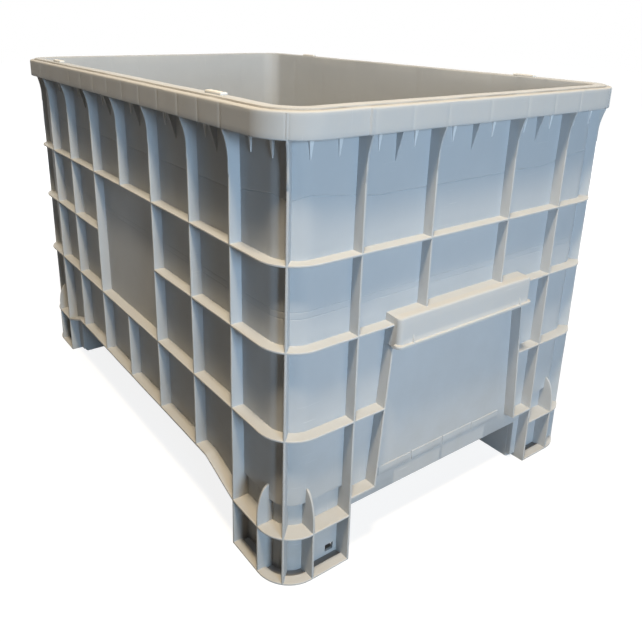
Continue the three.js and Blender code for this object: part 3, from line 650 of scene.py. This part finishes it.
def make_handles():
    """The hook at each place along the side; its outer points follow the round corner in plan."""
    solid, hollow = ledge_section()
    half = LEDGE_Y + LEDGE_LIP
    wall_end = LEDGE_Y - LEDGE_SKIN
    near_end = half - LEDGE_ROUND * (1 - np.cos(np.linspace(0.0, math.pi / 2, 7)))[::-1]
    y = np.concatenate([np.linspace(0.0, wall_end - 0.4, 14), [wall_end], near_end])
    y = np.unique(np.round(y, 3))
    y = np.concatenate([-y[:0:-1], y])
    gone = np.abs(y)[:, None]
    reach = np.clip((gone - (half - LEDGE_ROUND)) / LEDGE_ROUND, 0.0, 1.0)
    pull = LEDGE_ROUND * (1.0 - np.sqrt(1.0 - reach ** 2))
    drop = LEDGE_DROP * np.clip((gone - (LEDGE_Y - DROP_RUN)) / DROP_RUN, 0.0, 1.2) ** 2
    upper_edge = (solid[:, 1] > 430.0) & (solid[:, 0] - (solid[:, 0] > BEHIND) * pull > 575.0)
    front_z = solid[:, 1] - upper_edge * drop
    back_z = np.where(gone > wall_end - 0.2, LEDGE_LOW + LEDGE_FILL, hollow[:, 1])
    x = np.concatenate([solid[:, 0], hollow[:, 0]])
    x = x - (x > BEHIND) * pull
    z = np.concatenate([front_z, back_z], axis=1)
    lip = (z < LIP_TOP) & (x > BEHIND)
    narrow = np.where(lip, 1.0, (half - LEDGE_LIP) / half)
    ledge = loft(np.stack([x, y[:, None] * narrow, z], axis=-1))
    share = np.clip((TIE_ROWS - 395.0) / 13.5, 0.0, 1.0)
    reach = TIE_REACH * (1.0 - share) + 0.1
    ties = [
        blade((LEDGE_X, y), 0.0, TIE_ROWS, IN_PLASTIC, reach, TIE_HALF, fat=0.0, rounding=0.6)
        for y in (-TIE_Y, TIE_Y)
    ]
    both_ends = [skin for part in (ledge, *ties) for skin in mirrored(part)[:2]]
    add_piece("handles", both_ends)


make_handles()

# %% [markdown]
# ### Panel trim
# The smooth panel under the ledge is framed by two slanted ribs, and a row of low pads stands along its
# foot. A rib that slants is a blade whose sections shift sideways with height.

# %% Panel trim
SLANTED_TOP = 393.0
PAD_STEP, PAD_HALF = 82.0, 39.5
PAD_ROWS = np.array((BOTTOM + 0.2, BOTTOM + 1.0, 134.0, 141.0, 142.4, 143.2))
PAD_REACH = np.array((0.9, 1.5, 1.5, 1.5, 1.3, 0.3))
PAD_LIFTS = (0.4, -0.6)  # no two pads are quite the same height


def make_panel_trim():
    """Slanted ribs beside the smooth panel, and the low pads in a row along its foot."""
    z = np.linspace(RIB_BOTTOM, SLANTED_TOP, 15)
    slope = (PANEL_LOW_Y - PANEL_TOP_Y) / (LEDGE_LOW - BOTTOM)
    shift = PANEL_TOP_Y + SLANTED_SHIFT + slope * (LEDGE_LOW - z)
    parts = [blade((RIB_X, 0.0), 0.0, z, wall_middle(z), -EDGE_INSET, RIB_HALF, shift)]
    face = RIB_X + WALL_OUT - DRAFT * (RIM_TOP - BOTTOM)
    for place, lift in enumerate(PAD_LIFTS):
        middle = PAD_STEP * (place + 0.5)
        z = PAD_ROWS + lift * (PAD_ROWS > 140.0)
        parts.append(blade((face, middle), 0.0, z, -3.0, PAD_REACH, PAD_HALF, fat=0.0, rounding=0.8))
    add_piece("panel_trim", mirrored(*parts))


make_panel_trim()

# %% [markdown]
# ## Feet
# Each foot is a hollow core, a rounded box open below, tied to the rings by short ribs. The core's
# wall is a tube: its section goes down outside and up inside, and is carried round the core's plan.
# Two curved fins stand on the shelf and lean on the wall above it.

# %% Foot cores
CORE_ROUND, OPEN_ROUND, SMALL_ROUND = 38.0, 80.0, 5.0
CORE_WALL, CORE_TOP = 4.5, 141.5
WINDOW_Y, WINDOW_LONG, WINDOW_LOW, WINDOW_HIGH = 253.0, 17.0, 8.0, 22.0
SIDE_ROWS = (240.0, WINDOW_Y, WINDOW_Y + WINDOW_LONG, 290.0, 305.0)
WINDOW_ROW = 4  # the window starts at WINDOW_Y, the fourth row from the end of the plan


def core_plan():
    """Closed plan of a core: straight sides between four quarter circles, with outward normals."""
    circles = (
        (CORE_X - CORE_ROUND, CORE_Y - CORE_ROUND, CORE_ROUND, 0.0),
        (OPEN_X + SMALL_ROUND, CORE_Y - SMALL_ROUND, SMALL_ROUND, 90.0),
        (OPEN_X + OPEN_ROUND, OPEN_Y + OPEN_ROUND, OPEN_ROUND, 180.0),
        (CORE_X - SMALL_ROUND, OPEN_Y + SMALL_ROUND, SMALL_ROUND, 270.0),
    )
    places, normals = [], []
    for cx, cy, radius, start in circles:
        turn = np.radians(start + np.linspace(0.0, 90.0, 13))
        normal = np.stack([np.cos(turn), np.sin(turn)], axis=-1)
        places.append(np.array((cx, cy)) + radius * normal)
        normals.append(normal)
    places.append([(CORE_X, y) for y in SIDE_ROWS])
    normals.append([(1.0, 0.0)] * len(SIDE_ROWS))
    return np.concatenate(places), np.concatenate(normals)


def make_core():
    """A tube wall round the plan; two of its cells are left out for the window, which is lined."""
    place, normal = core_plan()
    heights = (0.0, 0.8, WINDOW_LOW, WINDOW_HIGH, 60.0, CORE_TOP)
    outside = [(-0.8 * (z == 0.0), z) for z in heights]
    inside = [(-CORE_WALL + 0.8 * (z == 0.0), z) for z in heights[::-1]]
    section = np.array(outside + inside)
    plan = place[:, None, :] + section[None, :, :1] * normal[:, None, :]
    upward = np.broadcast_to(section[None, :, 1:], plan.shape[:2] + (1,))
    grid = np.concatenate([plan, upward], axis=-1)
    rows, cols = grid.shape[:2]
    faces = grid_faces(rows, cols, True, True)
    first = rows - WINDOW_ROW
    low_out, high_out, high_in, low_in = 2, 3, 8, 9
    cell = faces[:, 0]
    window = (cell // cols == first) & np.isin(cell % cols, (low_out, high_in))
    kept = faces[~window].tolist()
    for row, turned in ((first, 1), (first + 1, -1)):
        kept.append([row * cols + k for k in (low_out, high_out, high_in, low_in)][::turned])
    for col_out, col_in, turned in ((low_out, low_in, -1), (high_out, high_in, 1)):
        a, b = first * cols, (first + 1) * cols
        kept.append([a + col_out, b + col_out, b + col_in, a + col_in][::turned])
    return grid.reshape(-1, 3), kept


STRIP_X, STRIP_Y, STRIP_BACK = 425.2, 234.2, 23.4
STRIP_ROWS, STRIP_FIT = (8.0, 8.8, 60.0, 142.0), (-0.7, 0.0, 0.0, 0.0)
STRIP_DEEP, STRIP_HALF_SHORT, STRIP_HALF_LONG = -10.0, 9.0, 15.8
CROSS_ROWS = (0.0, 0.8, 70.0, 141.0)
CROSS_START, CROSS_LONG, CROSS_SHORT = 2.5, 142.0, 126.0


def make_foot_cores():
    """Cores, the strips beside the fork ways, and a cross of two ribs inside each core."""
    up = math.pi / 2
    by_short, by_long = (RIB_X - STRIP_BACK, STRIP_Y), (STRIP_X, RIB_Y - STRIP_BACK)
    strip = (STRIP_ROWS, STRIP_DEEP, np.array(STRIP_FIT))
    middle_x, middle_y = (OPEN_X + CORE_X) / 2, (OPEN_Y + CORE_Y) / 2
    add_piece("foot_cores", mirrored(
        make_core(),
        blade(by_short, 0.0, *strip, STRIP_HALF_SHORT, fat=0.0),
        blade(by_long, up, *strip, STRIP_HALF_LONG, fat=0.0),
        blade((middle_x, OPEN_Y + CROSS_START), up, CROSS_ROWS, 0.0, CROSS_SHORT, RIB_HALF),
        blade((OPEN_X + CROSS_START, middle_y), 0.0, CROSS_ROWS, 0.0, CROSS_LONG, RIB_HALF),
    ))


make_foot_cores()


# %% [markdown]
# ### Fins and floor ribs
# The fins are blades whose outer edge follows a quarter ellipse back to the wall, so that a foot which
# hits an obstacle slides past it. The ribs under the floor are hidden, and are plain bars.

# %% Foot fins and floor ribs
FIN_STRAIGHT = np.array((0.0, 0.9, 50.0, 94.0, 105.0))
FIN_BEND, FIN_TALL, FIN_BACK = 110.0, 58.0, 23.5
FIN_BEFORE = 3.0  # the fins stand this far before the corner's bend
WALL_ROOT = -24.6
FLOOR_RIB_ROWS = BOTTOM + np.array((3.2, 4.2, 8.0, 17.0))
FLOOR_RIB_X = (0.0, LABEL_X, -LABEL_X, LONG_STATIONS[2], -LONG_STATIONS[2])
FLOOR_RIB_Y = (0.0, 82.0, -82.0, 164.0, -164.0)
FLOOR_HALF_X, FLOOR_HALF_Y = 561.0, 361.0


def foot_fin(place, turn):
    """Straight up on the rib line to 110 mm, then a quarter ellipse back to the wall at 168 mm."""
    curve = np.linspace(0.0, math.pi / 2, 9)
    z = np.concatenate([FIN_STRAIGHT, FIN_BEND + FIN_TALL * np.sin(curve)])
    straight = -EDGE_INSET - WORN_EDGE * (FIN_STRAIGHT == 0.0)
    reach = np.concatenate([straight, -EDGE_INSET - FIN_BACK * (1 - np.cos(curve))])
    root = np.where(z < FOOT_TOP, FOOT_ROOT, WALL_ROOT)
    return blade(place, turn, z, np.minimum(root, reach - 1.0), reach, RIB_HALF, fat=0.2)


def make_foot_fins():
    """Two fins to a foot, and the plain ribs that stiffen the floor from below."""
    up = math.pi / 2
    parts = mirrored(
        foot_fin((RIB_X, BEND_Y - FIN_BEFORE), 0.0),
        foot_fin((BEND_X - FIN_BEFORE, RIB_Y), up),
    )
    places = [((x, 0.0), up, FLOOR_HALF_Y) for x in FLOOR_RIB_X]
    places += [((0.0, y), 0.0, FLOOR_HALF_X) for y in FLOOR_RIB_Y]
    for place, turn, half in places:
        parts.append(blade(place, turn, FLOOR_RIB_ROWS, -half, half, RIB_HALF, fat=0.2))
    add_piece("foot_fins", parts)


make_foot_fins()


# %% [markdown]
# ### Lugs
# Each lug is a blade again, lying along the rim: its sections shrink a little towards the top, which
# rounds its edges like the worn ones in the photograph.

# %% Lugs on the rim
LUG_PLACE = (382.0, 371.75)
LUG_LONG_HALF, LUG_WIDE_HALF = 25.0, 6.0
LUG_ROWS = 782.0 + np.array((0.0, 3.0, 4.2, 4.75, 4.95))
LUG_SHRINK = np.array((0.0, 0.0, 0.35, 1.0, 2.2))


def make_lugs():
    """Four low pads with rounded tops that keep a stacked box from sliding."""
    reach = LUG_WIDE_HALF - LUG_SHRINK
    lug = blade(LUG_PLACE, math.pi / 2, LUG_ROWS, -reach, reach, LUG_LONG_HALF - LUG_SHRINK,
                fat=0.0, rounding=1.5)
    add_piece("lugs", mirrored(lug))


make_lugs()

# %% [markdown]
# ## The plastic
# The whole box is one grey polyethylene, satin where it was moulded against smooth steel. What makes
# it look real is slow change: a little more or less grey from place to place, fine grain, sink marks
# over the ribs, warm dust and scuffs on the edges that touch hands, forks and other boxes. The tone,
# the edge mask, the scuffs and the groove's dirt are node groups with their own inputs, so they could
# be used again in another material.

# %% Node group helpers
FLOAT, COLOR, VECTOR = "NodeSocketFloat", "NodeSocketColor", "NodeSocketVector"
MIDDLE_GREY = (0.5, 0.5, 0.5, 1.0)
WHITE = (1.0, 1.0, 1.0, 1.0)


def new_group(name, inputs, outputs):
    """An empty shader group with named sockets: (name, kind, default) for each input."""
    group = bpy.data.node_groups.new(name, "ShaderNodeTree")
    for label, kind, default in inputs:
        socket = group.interface.new_socket(name=label, in_out="INPUT", socket_type=kind)
        if default is not None:
            socket.default_value = default
    for label, kind in outputs:
        group.interface.new_socket(name=label, in_out="OUTPUT", socket_type=kind)
    return group, group.nodes.new("NodeGroupInput"), group.nodes.new("NodeGroupOutput")


def add_node(tree, kind, inputs=None, **settings):
    """One node with its settings; each input takes a plain value or another node's output."""
    node = tree.nodes.new(kind)
    for key, value in settings.items():
        setattr(node, key, value)
    for key, source in (inputs or {}).items():
        if isinstance(source, bpy.types.NodeSocket):
            tree.links.new(source, node.inputs[key])
        else:
            node.inputs[key].default_value = source
    return node


def math_node(tree, operation, *sources):
    """A Math node of one or two numbers or outputs."""
    return add_node(tree, "ShaderNodeMath", dict(enumerate(sources)), operation=operation).outputs[0]


def vector_node(tree, operation, *sources):
    """A Vector Math node of one or two vectors; a length comes out at Value, all else at Vector."""
    node = add_node(tree, "ShaderNodeVectorMath", dict(enumerate(sources)), operation=operation)
    return node.outputs["Value" if operation == "LENGTH" else "Vector"]


def map_range(tree, value, low, high, to_low=0.0, to_high=1.0):
    """The range low to high of a value brought to the range to_low to to_high, held at its ends."""
    inputs = {"Value": value, "From Min": low, "From Max": high, "To Min": to_low, "To Max": to_high}
    return add_node(tree, "ShaderNodeMapRange", inputs).outputs[0]


def noise(tree, point, scale, detail, **more):
    """Noise between 0 and 1 at a point; more sets its Roughness or its Distortion."""
    inputs = {"Vector": point, "Scale": scale, "Detail": detail, **more}
    return add_node(tree, "ShaderNodeTexNoise", inputs).outputs[0]


def mix_color(tree, share, first, second):
    """Two colours mixed by a share: the Mix node's colour sockets are inputs 6 and 7, output 2."""
    return add_node(tree, "ShaderNodeMix", {0: share, 6: first, 7: second}, data_type="RGBA").outputs[2]


def height_of(tree, point):
    """The Z of a point, in metres."""
    return add_node(tree, "ShaderNodeSeparateXYZ", {0: point}).outputs["Z"]


def run_group(tree, group, point, **inputs):
    """A node that runs a group at a point; its other inputs take values or outputs."""
    return add_node(tree, "ShaderNodeGroup", {"Point": point, **inputs}, node_tree=group)


# %% [markdown]
# ### How far a point stands off the wall
# The rib line is a rounded rectangle, so the distance from it can be computed from the object's own
# coordinates: fold the box into one quarter, subtract the place of the corner's centre, keep what is
# positive and take its length. The same sum that shaped the mesh now tells edge from wall.

# %% Group: stand-off from the rib line
ABOVE_ALL = 10.0  # metres; the corner's centre is put higher than any point, so height drops out


def make_standoff_group():
    """Object coordinates in, distance out from the rib line in millimetres."""
    group, given, result = new_group("standoff", [("Point", VECTOR, None)], [("Distance", FLOAT)])
    folded = vector_node(group, "ABSOLUTE", given.outputs["Point"])
    moved = vector_node(group, "SUBTRACT", folded, (BEND_X * MM, BEND_Y * MM, ABOVE_ALL))
    length = vector_node(group, "LENGTH", vector_node(group, "MAXIMUM", moved, (0.0, 0.0, 0.0)))
    in_mm = math_node(group, "MULTIPLY", length, 1.0 / MM)
    group.links.new(math_node(group, "SUBTRACT", in_mm, CORNER), result.inputs["Distance"])
    return group


# %% [markdown]
# ### Tone, worn and lit edges, scuffs and dirt
# Moulded plastic is never one even grey, its edges are rubbed paler, and things slid along it leave thin
# strokes. Noise on object coordinates gives all three: two sizes of clouds for the tone, clouds that
# break up an edge mask for wear, and noise stretched many times longer than wide for strokes. The edge
# mask also carries painted light: the edges are made warmer, as if lit from above. Dirt lies in the
# groove beside the rim's raised band, so its mask is a narrow range of the same distance.

# %% Group: uneven tone
FINE_CLOUDS = 9.0  # the fine clouds are this many times smaller than the large ones
LARGE_SHARE, FINE_SHARE = 0.65, 0.35


def make_tone_group():
    """Clouds of two sizes move a base colour towards a second one by a given amount."""
    group, given, result = new_group(
        "uneven_tone",
        [("Point", VECTOR, None), ("Base", COLOR, MIDDLE_GREY), ("Other", COLOR, MIDDLE_GREY),
         ("Amount", FLOAT, 0.5), ("Scale", FLOAT, 4.0)],
        [("Color", COLOR), ("Clouds", FLOAT)],
    )
    point, scale = given.outputs["Point"], given.outputs["Scale"]
    large = noise(group, point, scale, 3.0, Roughness=0.55)
    fine = noise(group, point, math_node(group, "MULTIPLY", scale, FINE_CLOUDS), 4.0, Roughness=0.6)
    both = math_node(group, "ADD", math_node(group, "MULTIPLY", large, LARGE_SHARE),
                     math_node(group, "MULTIPLY", fine, FINE_SHARE))
    clouds = map_range(group, both, 0.35, 0.65)
    share = math_node(group, "MULTIPLY", clouds, given.outputs["Amount"])
    color = mix_color(group, share, given.outputs["Base"], given.outputs["Other"])
    group.links.new(color, result.inputs["Color"])
    group.links.new(clouds, result.inputs["Clouds"])
    return group


# %% Group: worn and lit edges
def make_worn_lit_edge_group():
    """Mask that is 1 on edges standing out past a distance, broken up by noise."""
    group, given, result = new_group(
        "worn_and_lit_edges",
        [("Point", VECTOR, None), ("Distance", FLOAT, 0.0), ("From", FLOAT, -3.0), ("To", FLOAT, 0.0),
         ("Scale", FLOAT, 40.0), ("Breaks", FLOAT, 0.5)],
        [("Mask", FLOAT)],
    )
    edge = map_range(group, given.outputs["Distance"], given.outputs["From"], given.outputs["To"])
    clouds = noise(group, given.outputs["Point"], given.outputs["Scale"], 5.0, Roughness=0.65)
    broken = math_node(group, "MULTIPLY", given.outputs["Breaks"], map_range(group, clouds, 0.38, 0.62))
    kept = math_node(group, "SUBTRACT", 1.0, broken)
    group.links.new(math_node(group, "MULTIPLY", edge, kept), result.inputs["Mask"])
    return group


# %% Group: scuffs
STROKE_EDGE = 0.05  # how far past the threshold a stroke is at its full strength


def make_scuff_group():
    """Thin broken strokes: very stretched noise, thresholded, in the places where clouds allow it."""
    group, given, result = new_group(
        "scuffs", [("Point", VECTOR, None), ("Stretch", VECTOR, (1, 1, 1)), ("Threshold", FLOAT, 0.66)],
        [("Mask", FLOAT)],
    )
    threshold = given.outputs["Threshold"]
    stretched = vector_node(group, "MULTIPLY", given.outputs["Point"], given.outputs["Stretch"])
    strokes = noise(group, stretched, 1.0, 3.0, Distortion=0.25)
    line = map_range(group, strokes, threshold, math_node(group, "ADD", threshold, STROKE_EDGE))
    allowed = map_range(group, noise(group, given.outputs["Point"], 5.0, 2.0), 0.48, 0.6)
    group.links.new(math_node(group, "MULTIPLY", line, allowed), result.inputs["Mask"])
    return group


# %% Group: dirt in a groove
def make_groove_group():
    """Mask along a line at a given stand-off, above a given height, patchy along its length."""
    group, given, result = new_group(
        "groove_dirt",
        [("Point", VECTOR, None), ("Distance", FLOAT, 0.0), ("Centre", FLOAT, 0.0), ("Width", FLOAT, 1.0),
         ("Above", FLOAT, 0.0)],
        [("Mask", FLOAT)],
    )
    point = given.outputs["Point"]
    off_centre = math_node(group, "SUBTRACT", given.outputs["Distance"], given.outputs["Centre"])
    away = math_node(group, "DIVIDE", math_node(group, "ABSOLUTE", off_centre), given.outputs["Width"])
    near = math_node(group, "MAXIMUM", math_node(group, "SUBTRACT", 1.0, away), 0.0)
    in_mm = math_node(group, "MULTIPLY", height_of(group, point), 1.0 / MM)
    above = math_node(group, "GREATER_THAN", in_mm, given.outputs["Above"])
    patchy = map_range(group, noise(group, point, 14.0, 4.0), 0.3, 0.6, to_low=0.35)
    shown = math_node(group, "MULTIPLY", near, above)
    group.links.new(math_node(group, "MULTIPLY", shown, patchy), result.inputs["Mask"])
    return group


standoff_group = make_standoff_group()
groove_group = make_groove_group()
tone_group = make_tone_group()
worn_lit_edge_group = make_worn_lit_edge_group()
scuff_group = make_scuff_group()
print("groups", [group.name for group in bpy.data.node_groups])

# %% [markdown]
# ### Putting the plastic together
# The wall keeps a cool grey, the ribs' edges and the rim a slightly warmer and paler one: paler from
# wear, warmer as painted warm light from above. The lugs' tops get a painted highlight. Dust gathers
# low on the box. The bump has three sizes: slow waves of shrinkage, satin grain and scratches.

# %% Material: grey polyethylene
WALL_GREY = (0.490, 0.510, 0.530, 1.0)
WALL_GREY_2 = (0.440, 0.458, 0.478, 1.0)
# rib edges and rim: paler from wear, and warmer as painted warm light from above
EDGE_WORN_AND_LIT_GREY = (0.515, 0.515, 0.510, 1.0)
DUST = (0.400, 0.360, 0.300, 1.0)
GROOVE_DIRT = (0.130, 0.105, 0.075, 1.0)
SCUFF_GREY = (0.660, 0.660, 0.655, 1.0)
# painted highlight on the lugs' tops, where they catch the light
LUG_TOP_HIGHLIGHT = (0.740, 0.740, 0.725, 1.0)
# paler grey of the teeth: painted light, as if lit against the wall in the rim's shade
TOOTH_PAINTED_LIGHT_GREY = (0.760, 0.770, 0.780, 1.0)
DUST_TOP, DUST_SHARE = 0.42, 0.42  # metres above the ground, and the share at the ground
GROOVE = {"Centre": 0.9, "Width": 1.7, "Above": 779.6}
GROOVE_SHARE, SCUFF_SHARE, LUG_HIGHLIGHT_SHARE = 0.8, 0.35, 0.85
LUG_LOW, LUG_HIGH = 783.4 * MM, 784.6 * MM
LEVEL_SCUFFS = {"Stretch": (14.0, 14.0, 420.0), "Threshold": 0.67}
STEEP_SCUFFS = {"Stretch": (260.0, 260.0, 9.0), "Threshold": 0.69}
ROUGH_LOW, ROUGH_HIGH, EDGE_ROUGHER, SCUFF_ROUGHER = 0.42, 0.54, 0.10, 0.12
SHRINK_BUMP, GRAIN_BUMP, SCUFF_BUMP = 4.0, 0.06, 0.10
BUMP_STRENGTH, BUMP_HEIGHT = 0.5, 0.001


def make_plastic(name, base, other):
    """One Principled shader; groups feed its colour, its roughness and its bump."""
    material = bpy.data.materials.new(name)
    material.use_nodes = True
    tree = material.node_tree
    shader = tree.nodes["Principled BSDF"]
    shader.inputs["IOR"].default_value = 1.5
    shader.inputs["Specular IOR Level"].default_value = 0.10
    point = add_node(tree, "ShaderNodeTexCoord").outputs["Object"]
    height = height_of(tree, point)

    def share_of(mask, share):
        """A mask times a number."""
        return math_node(tree, "MULTIPLY", mask, share)

    distance = run_group(tree, standoff_group, point).outputs["Distance"]
    tone = run_group(tree, tone_group, point, Base=base, Other=other, Amount=0.5, Scale=2.6)
    clouds = tone.outputs["Clouds"]
    worn_lit_settings = {"From": -4.0, "To": -0.6, "Scale": 35.0, "Breaks": 0.35}
    edge = run_group(tree, worn_lit_edge_group, point, Distance=distance, **worn_lit_settings).outputs["Mask"]
    groove = run_group(tree, groove_group, point, Distance=distance, **GROOVE).outputs["Mask"]
    level_scuffs = run_group(tree, scuff_group, point, **LEVEL_SCUFFS).outputs["Mask"]
    steep_scuffs = run_group(tree, scuff_group, point, **STEEP_SCUFFS).outputs["Mask"]
    scuffs = math_node(tree, "MAXIMUM", level_scuffs, steep_scuffs)

    dust = share_of(map_range(tree, height, DUST_TOP, 0.0, to_high=DUST_SHARE), clouds)
    # Edges and rim: paler where worn, warmer as painted warm light from above.
    color = mix_color(tree, edge, tone.outputs["Color"], EDGE_WORN_AND_LIT_GREY)
    color = mix_color(tree, dust, color, DUST)
    color = mix_color(tree, share_of(groove, GROOVE_SHARE), color, GROOVE_DIRT)
    color = mix_color(tree, share_of(scuffs, SCUFF_SHARE), color, SCUFF_GREY)
    # Painted highlight: the lugs' tops are made paler by height.
    color = mix_color(tree, map_range(tree, height, LUG_LOW, LUG_HIGH, to_high=LUG_HIGHLIGHT_SHARE), color, LUG_TOP_HIGHLIGHT)
    tree.links.new(color, shader.inputs["Base Color"])

    rough = map_range(tree, clouds, 0.0, 1.0, ROUGH_LOW, ROUGH_HIGH)
    rough = math_node(tree, "ADD", rough, share_of(edge, EDGE_ROUGHER))
    rough = math_node(tree, "ADD", rough, share_of(scuffs, SCUFF_ROUGHER))
    tree.links.new(rough, shader.inputs["Roughness"])

    bumps = math_node(tree, "ADD", share_of(noise(tree, point, 7.0, 1.0), SHRINK_BUMP),
                      share_of(noise(tree, point, 900.0, 2.0), GRAIN_BUMP))
    bumps = math_node(tree, "SUBTRACT", bumps, share_of(scuffs, SCUFF_BUMP))
    bump = add_node(tree, "ShaderNodeBump",
                    {"Strength": BUMP_STRENGTH, "Distance": BUMP_HEIGHT, "Height": bumps})
    tree.links.new(bump.outputs[0], shader.inputs["Normal"])
    return material


plastic = make_plastic("grey_polyethylene", WALL_GREY, WALL_GREY_2)
# The teeth get a paler grey: painted light that makes them look lit against the shaded wall.
painted_light_plastic = make_plastic("polyethylene_painted_light", TOOTH_PAINTED_LIGHT_GREY, WALL_GREY)
for piece in bpy.data.objects:
    if piece.type == "MESH" and piece.name != "box_body":
        piece.data.materials.append(painted_light_plastic if piece.name == "skirt_teeth" else plastic)
for slot in frame["nodes"]["box_body"].material_slots:
    slot.material = plastic
print("materials", plastic.name, painted_light_plastic.name, len(plastic.node_tree.nodes), "nodes each")

# %% [markdown]
# ## Floor and light
# The photograph has no surroundings, so the box stands on one large flat sheet. Light Path makes the
# sheet and the world white only where the camera or a reflection sees them, so no white light falls on
# the box, and the sheet keeps the box's shadow. Inside the hollow feet no light arrives, so the sheet
# stays dark there. A white picture behind the box would look the same but could not take a shadow.

# %% Floor
FLOOR_SIZE, FLOOR_LINES = 12.0, 25
FLOOR_DROP = 0.0005  # the sheet lies this far under the feet
GLOW_NEAR, GLOW_FAR, GLOW_LEAST = 0.8, 2.4, 0.86
FOOT_INSET, HOLLOW_GLOW = 10.0, 0.03
UNSEEN_GREY = (0.18, 0.18, 0.18, 1.0)
SEEN_GREY = (0.22, 0.22, 0.22, 1.0)


def seen_directly(tree):
    """1 for a ray from the camera, a mirrored ray or one that went through glass, else 0."""
    rays = add_node(tree, "ShaderNodeLightPath")
    either = math_node(tree, "MAXIMUM", rays.outputs["Is Camera Ray"], rays.outputs["Is Glossy Ray"])
    return math_node(tree, "MAXIMUM", either, rays.outputs["Is Transmission Ray"])


def make_floor_material():
    """Plain grey for the light, white where it is looked at; dark only inside the hollow feet."""
    material = bpy.data.materials.new("pale_floor")
    material.use_nodes = True
    tree = material.node_tree
    tree.nodes.remove(tree.nodes["Principled BSDF"])
    point = add_node(tree, "ShaderNodeTexCoord").outputs["Object"]
    level = map_range(tree, vector_node(tree, "LENGTH", point), GLOW_NEAR, GLOW_FAR, to_low=GLOW_LEAST)
    sides = add_node(tree, "ShaderNodeSeparateXYZ", {0: vector_node(tree, "ABSOLUTE", point)})
    before_x = math_node(tree, "SUBTRACT", FOOT_X * MM, sides.outputs["X"])
    before_y = math_node(tree, "SUBTRACT", FOOT_Y * MM, sides.outputs["Y"])
    before = math_node(tree, "MULTIPLY", math_node(tree, "MAXIMUM", before_x, before_y), 1.0 / MM)
    distance = run_group(tree, standoff_group, point).outputs["Distance"]
    beyond = math_node(tree, "ADD", distance, FOOT_INSET)
    past_foot = math_node(tree, "MAXIMUM", before, beyond)
    outside = map_range(tree, past_foot, -2.0, 1.0, to_low=HOLLOW_GLOW)
    plain = add_node(tree, "ShaderNodeBsdfDiffuse", {"Color": UNSEEN_GREY})
    soft = add_node(tree, "ShaderNodeBsdfDiffuse", {"Color": SEEN_GREY})
    glow = add_node(tree, "ShaderNodeEmission", {"Strength": math_node(tree, "MULTIPLY", level, outside)})
    seen = add_node(tree, "ShaderNodeAddShader", {0: soft.outputs[0], 1: glow.outputs[0]})
    both = add_node(tree, "ShaderNodeMixShader",
                    {0: seen_directly(tree), 1: plain.outputs[0], 2: seen.outputs[0]})
    tree.links.new(both.outputs[0], tree.nodes["Material Output"].inputs["Surface"])
    return material


def make_floor():
    """A flat sheet on the ground, far larger than the box."""
    line = np.linspace(-FLOOR_SIZE, FLOOR_SIZE, FLOOR_LINES)
    x, y = np.meshgrid(line, line, indexing="ij")
    grid = np.stack([x, y, np.full_like(x, -FLOOR_DROP)], axis=-1)
    faces = grid_faces(FLOOR_LINES, FLOOR_LINES, False, False)
    mesh = bpy.data.meshes.new("floor")
    mesh.from_pydata(grid.reshape(-1, 3).tolist(), [], faces.tolist())
    mesh.materials.append(make_floor_material())
    floor = bpy.data.objects.new("floor", mesh)
    bpy.context.collection.objects.link(floor)
    print("floor", len(mesh.vertices), "points", len(mesh.polygons), "faces")


make_floor()

# %% [markdown]
# ### Lamps
# In the photograph a warm light comes steeply from above, a little from the side of the short wall: it
# is bright on the upper faces of the ribs and leaves the upper half of each bay in the shadow of the
# rim. A cool light comes level from the side and makes the short wall and one side of every upright
# rib blue. Two soft lamps do this; a weak one near the floor stands for the light that the ground
# throws back at the panel. Two plain ones show the box's other two sides. They light but make no
# glint, because the flat rim, seen at a low angle, would mirror them and burn out.

# %% Lamps
def add_lamp(name, place, target, size, watts, color, glints=True):
    """A square soft lamp at place, turned so that it shines at target."""
    data = bpy.data.lights.new(name, "AREA")
    data.shape = "SQUARE"
    data.size = size
    data.energy = watts
    data.color = color
    lamp = bpy.data.objects.new(name, data)
    lamp.location = place
    lamp.visible_camera = False
    lamp.visible_glossy = glints
    lamp.rotation_euler = (Vector(target) - Vector(place)).to_track_quat("-Z", "Y").to_euler()
    bpy.context.collection.objects.link(lamp)


PALE_BLUE = (0.92, 0.96, 1.0)
add_lamp("top_light", (1.30, -0.90, 3.7), (0.50, -0.2, 0.5), 0.42, 142.0, (1.0, 0.81, 0.56))
add_lamp("side_light", (3.9, -0.80, 1.32), (0.5, -0.2, 0.4), 0.9, 94.0, (0.55, 0.77, 1.0))
add_lamp("low_light", (1.15, -0.08, 0.10), (0.57, -0.08, 0.15), 0.35, 1.0, (1.0, 0.92, 0.84))
add_lamp("back_light", (-0.5, 4.0, 1.4), (-0.1, 0.3, 0.4), 2.0, 118.0, PALE_BLUE, glints=False)
add_lamp("end_light", (-4.2, 0.5, 1.4), (-0.5, 0.1, 0.4), 2.0, 110.0, PALE_BLUE, glints=False)

# %% [markdown]
# ### World
# Shadows in the photograph are deep, so the even light from all round is weak, and slightly warm.

# %% World
WORLD_LIGHT = 0.03
WARM_WHITE = (1.0, 0.84, 0.62, 1.0)


def make_world():
    """An even light for the object, and plain white where the camera looks past the floor."""
    world = bpy.data.worlds.new("soft_world")
    world.use_nodes = True
    tree = world.node_tree
    dim = tree.nodes["Background"]
    dim.inputs["Color"].default_value = WARM_WHITE
    dim.inputs["Strength"].default_value = WORLD_LIGHT
    white = add_node(tree, "ShaderNodeBackground", {"Color": WHITE, "Strength": 1.0})
    both = add_node(tree, "ShaderNodeMixShader",
                    {0: seen_directly(tree), 1: dim.outputs[0], 2: white.outputs[0]})
    tree.links.new(both.outputs[0], tree.nodes["World Output"].inputs["Surface"])
    bpy.context.scene.world = world


make_world()

scene = bpy.context.scene
scene.view_settings.view_transform = "Standard"
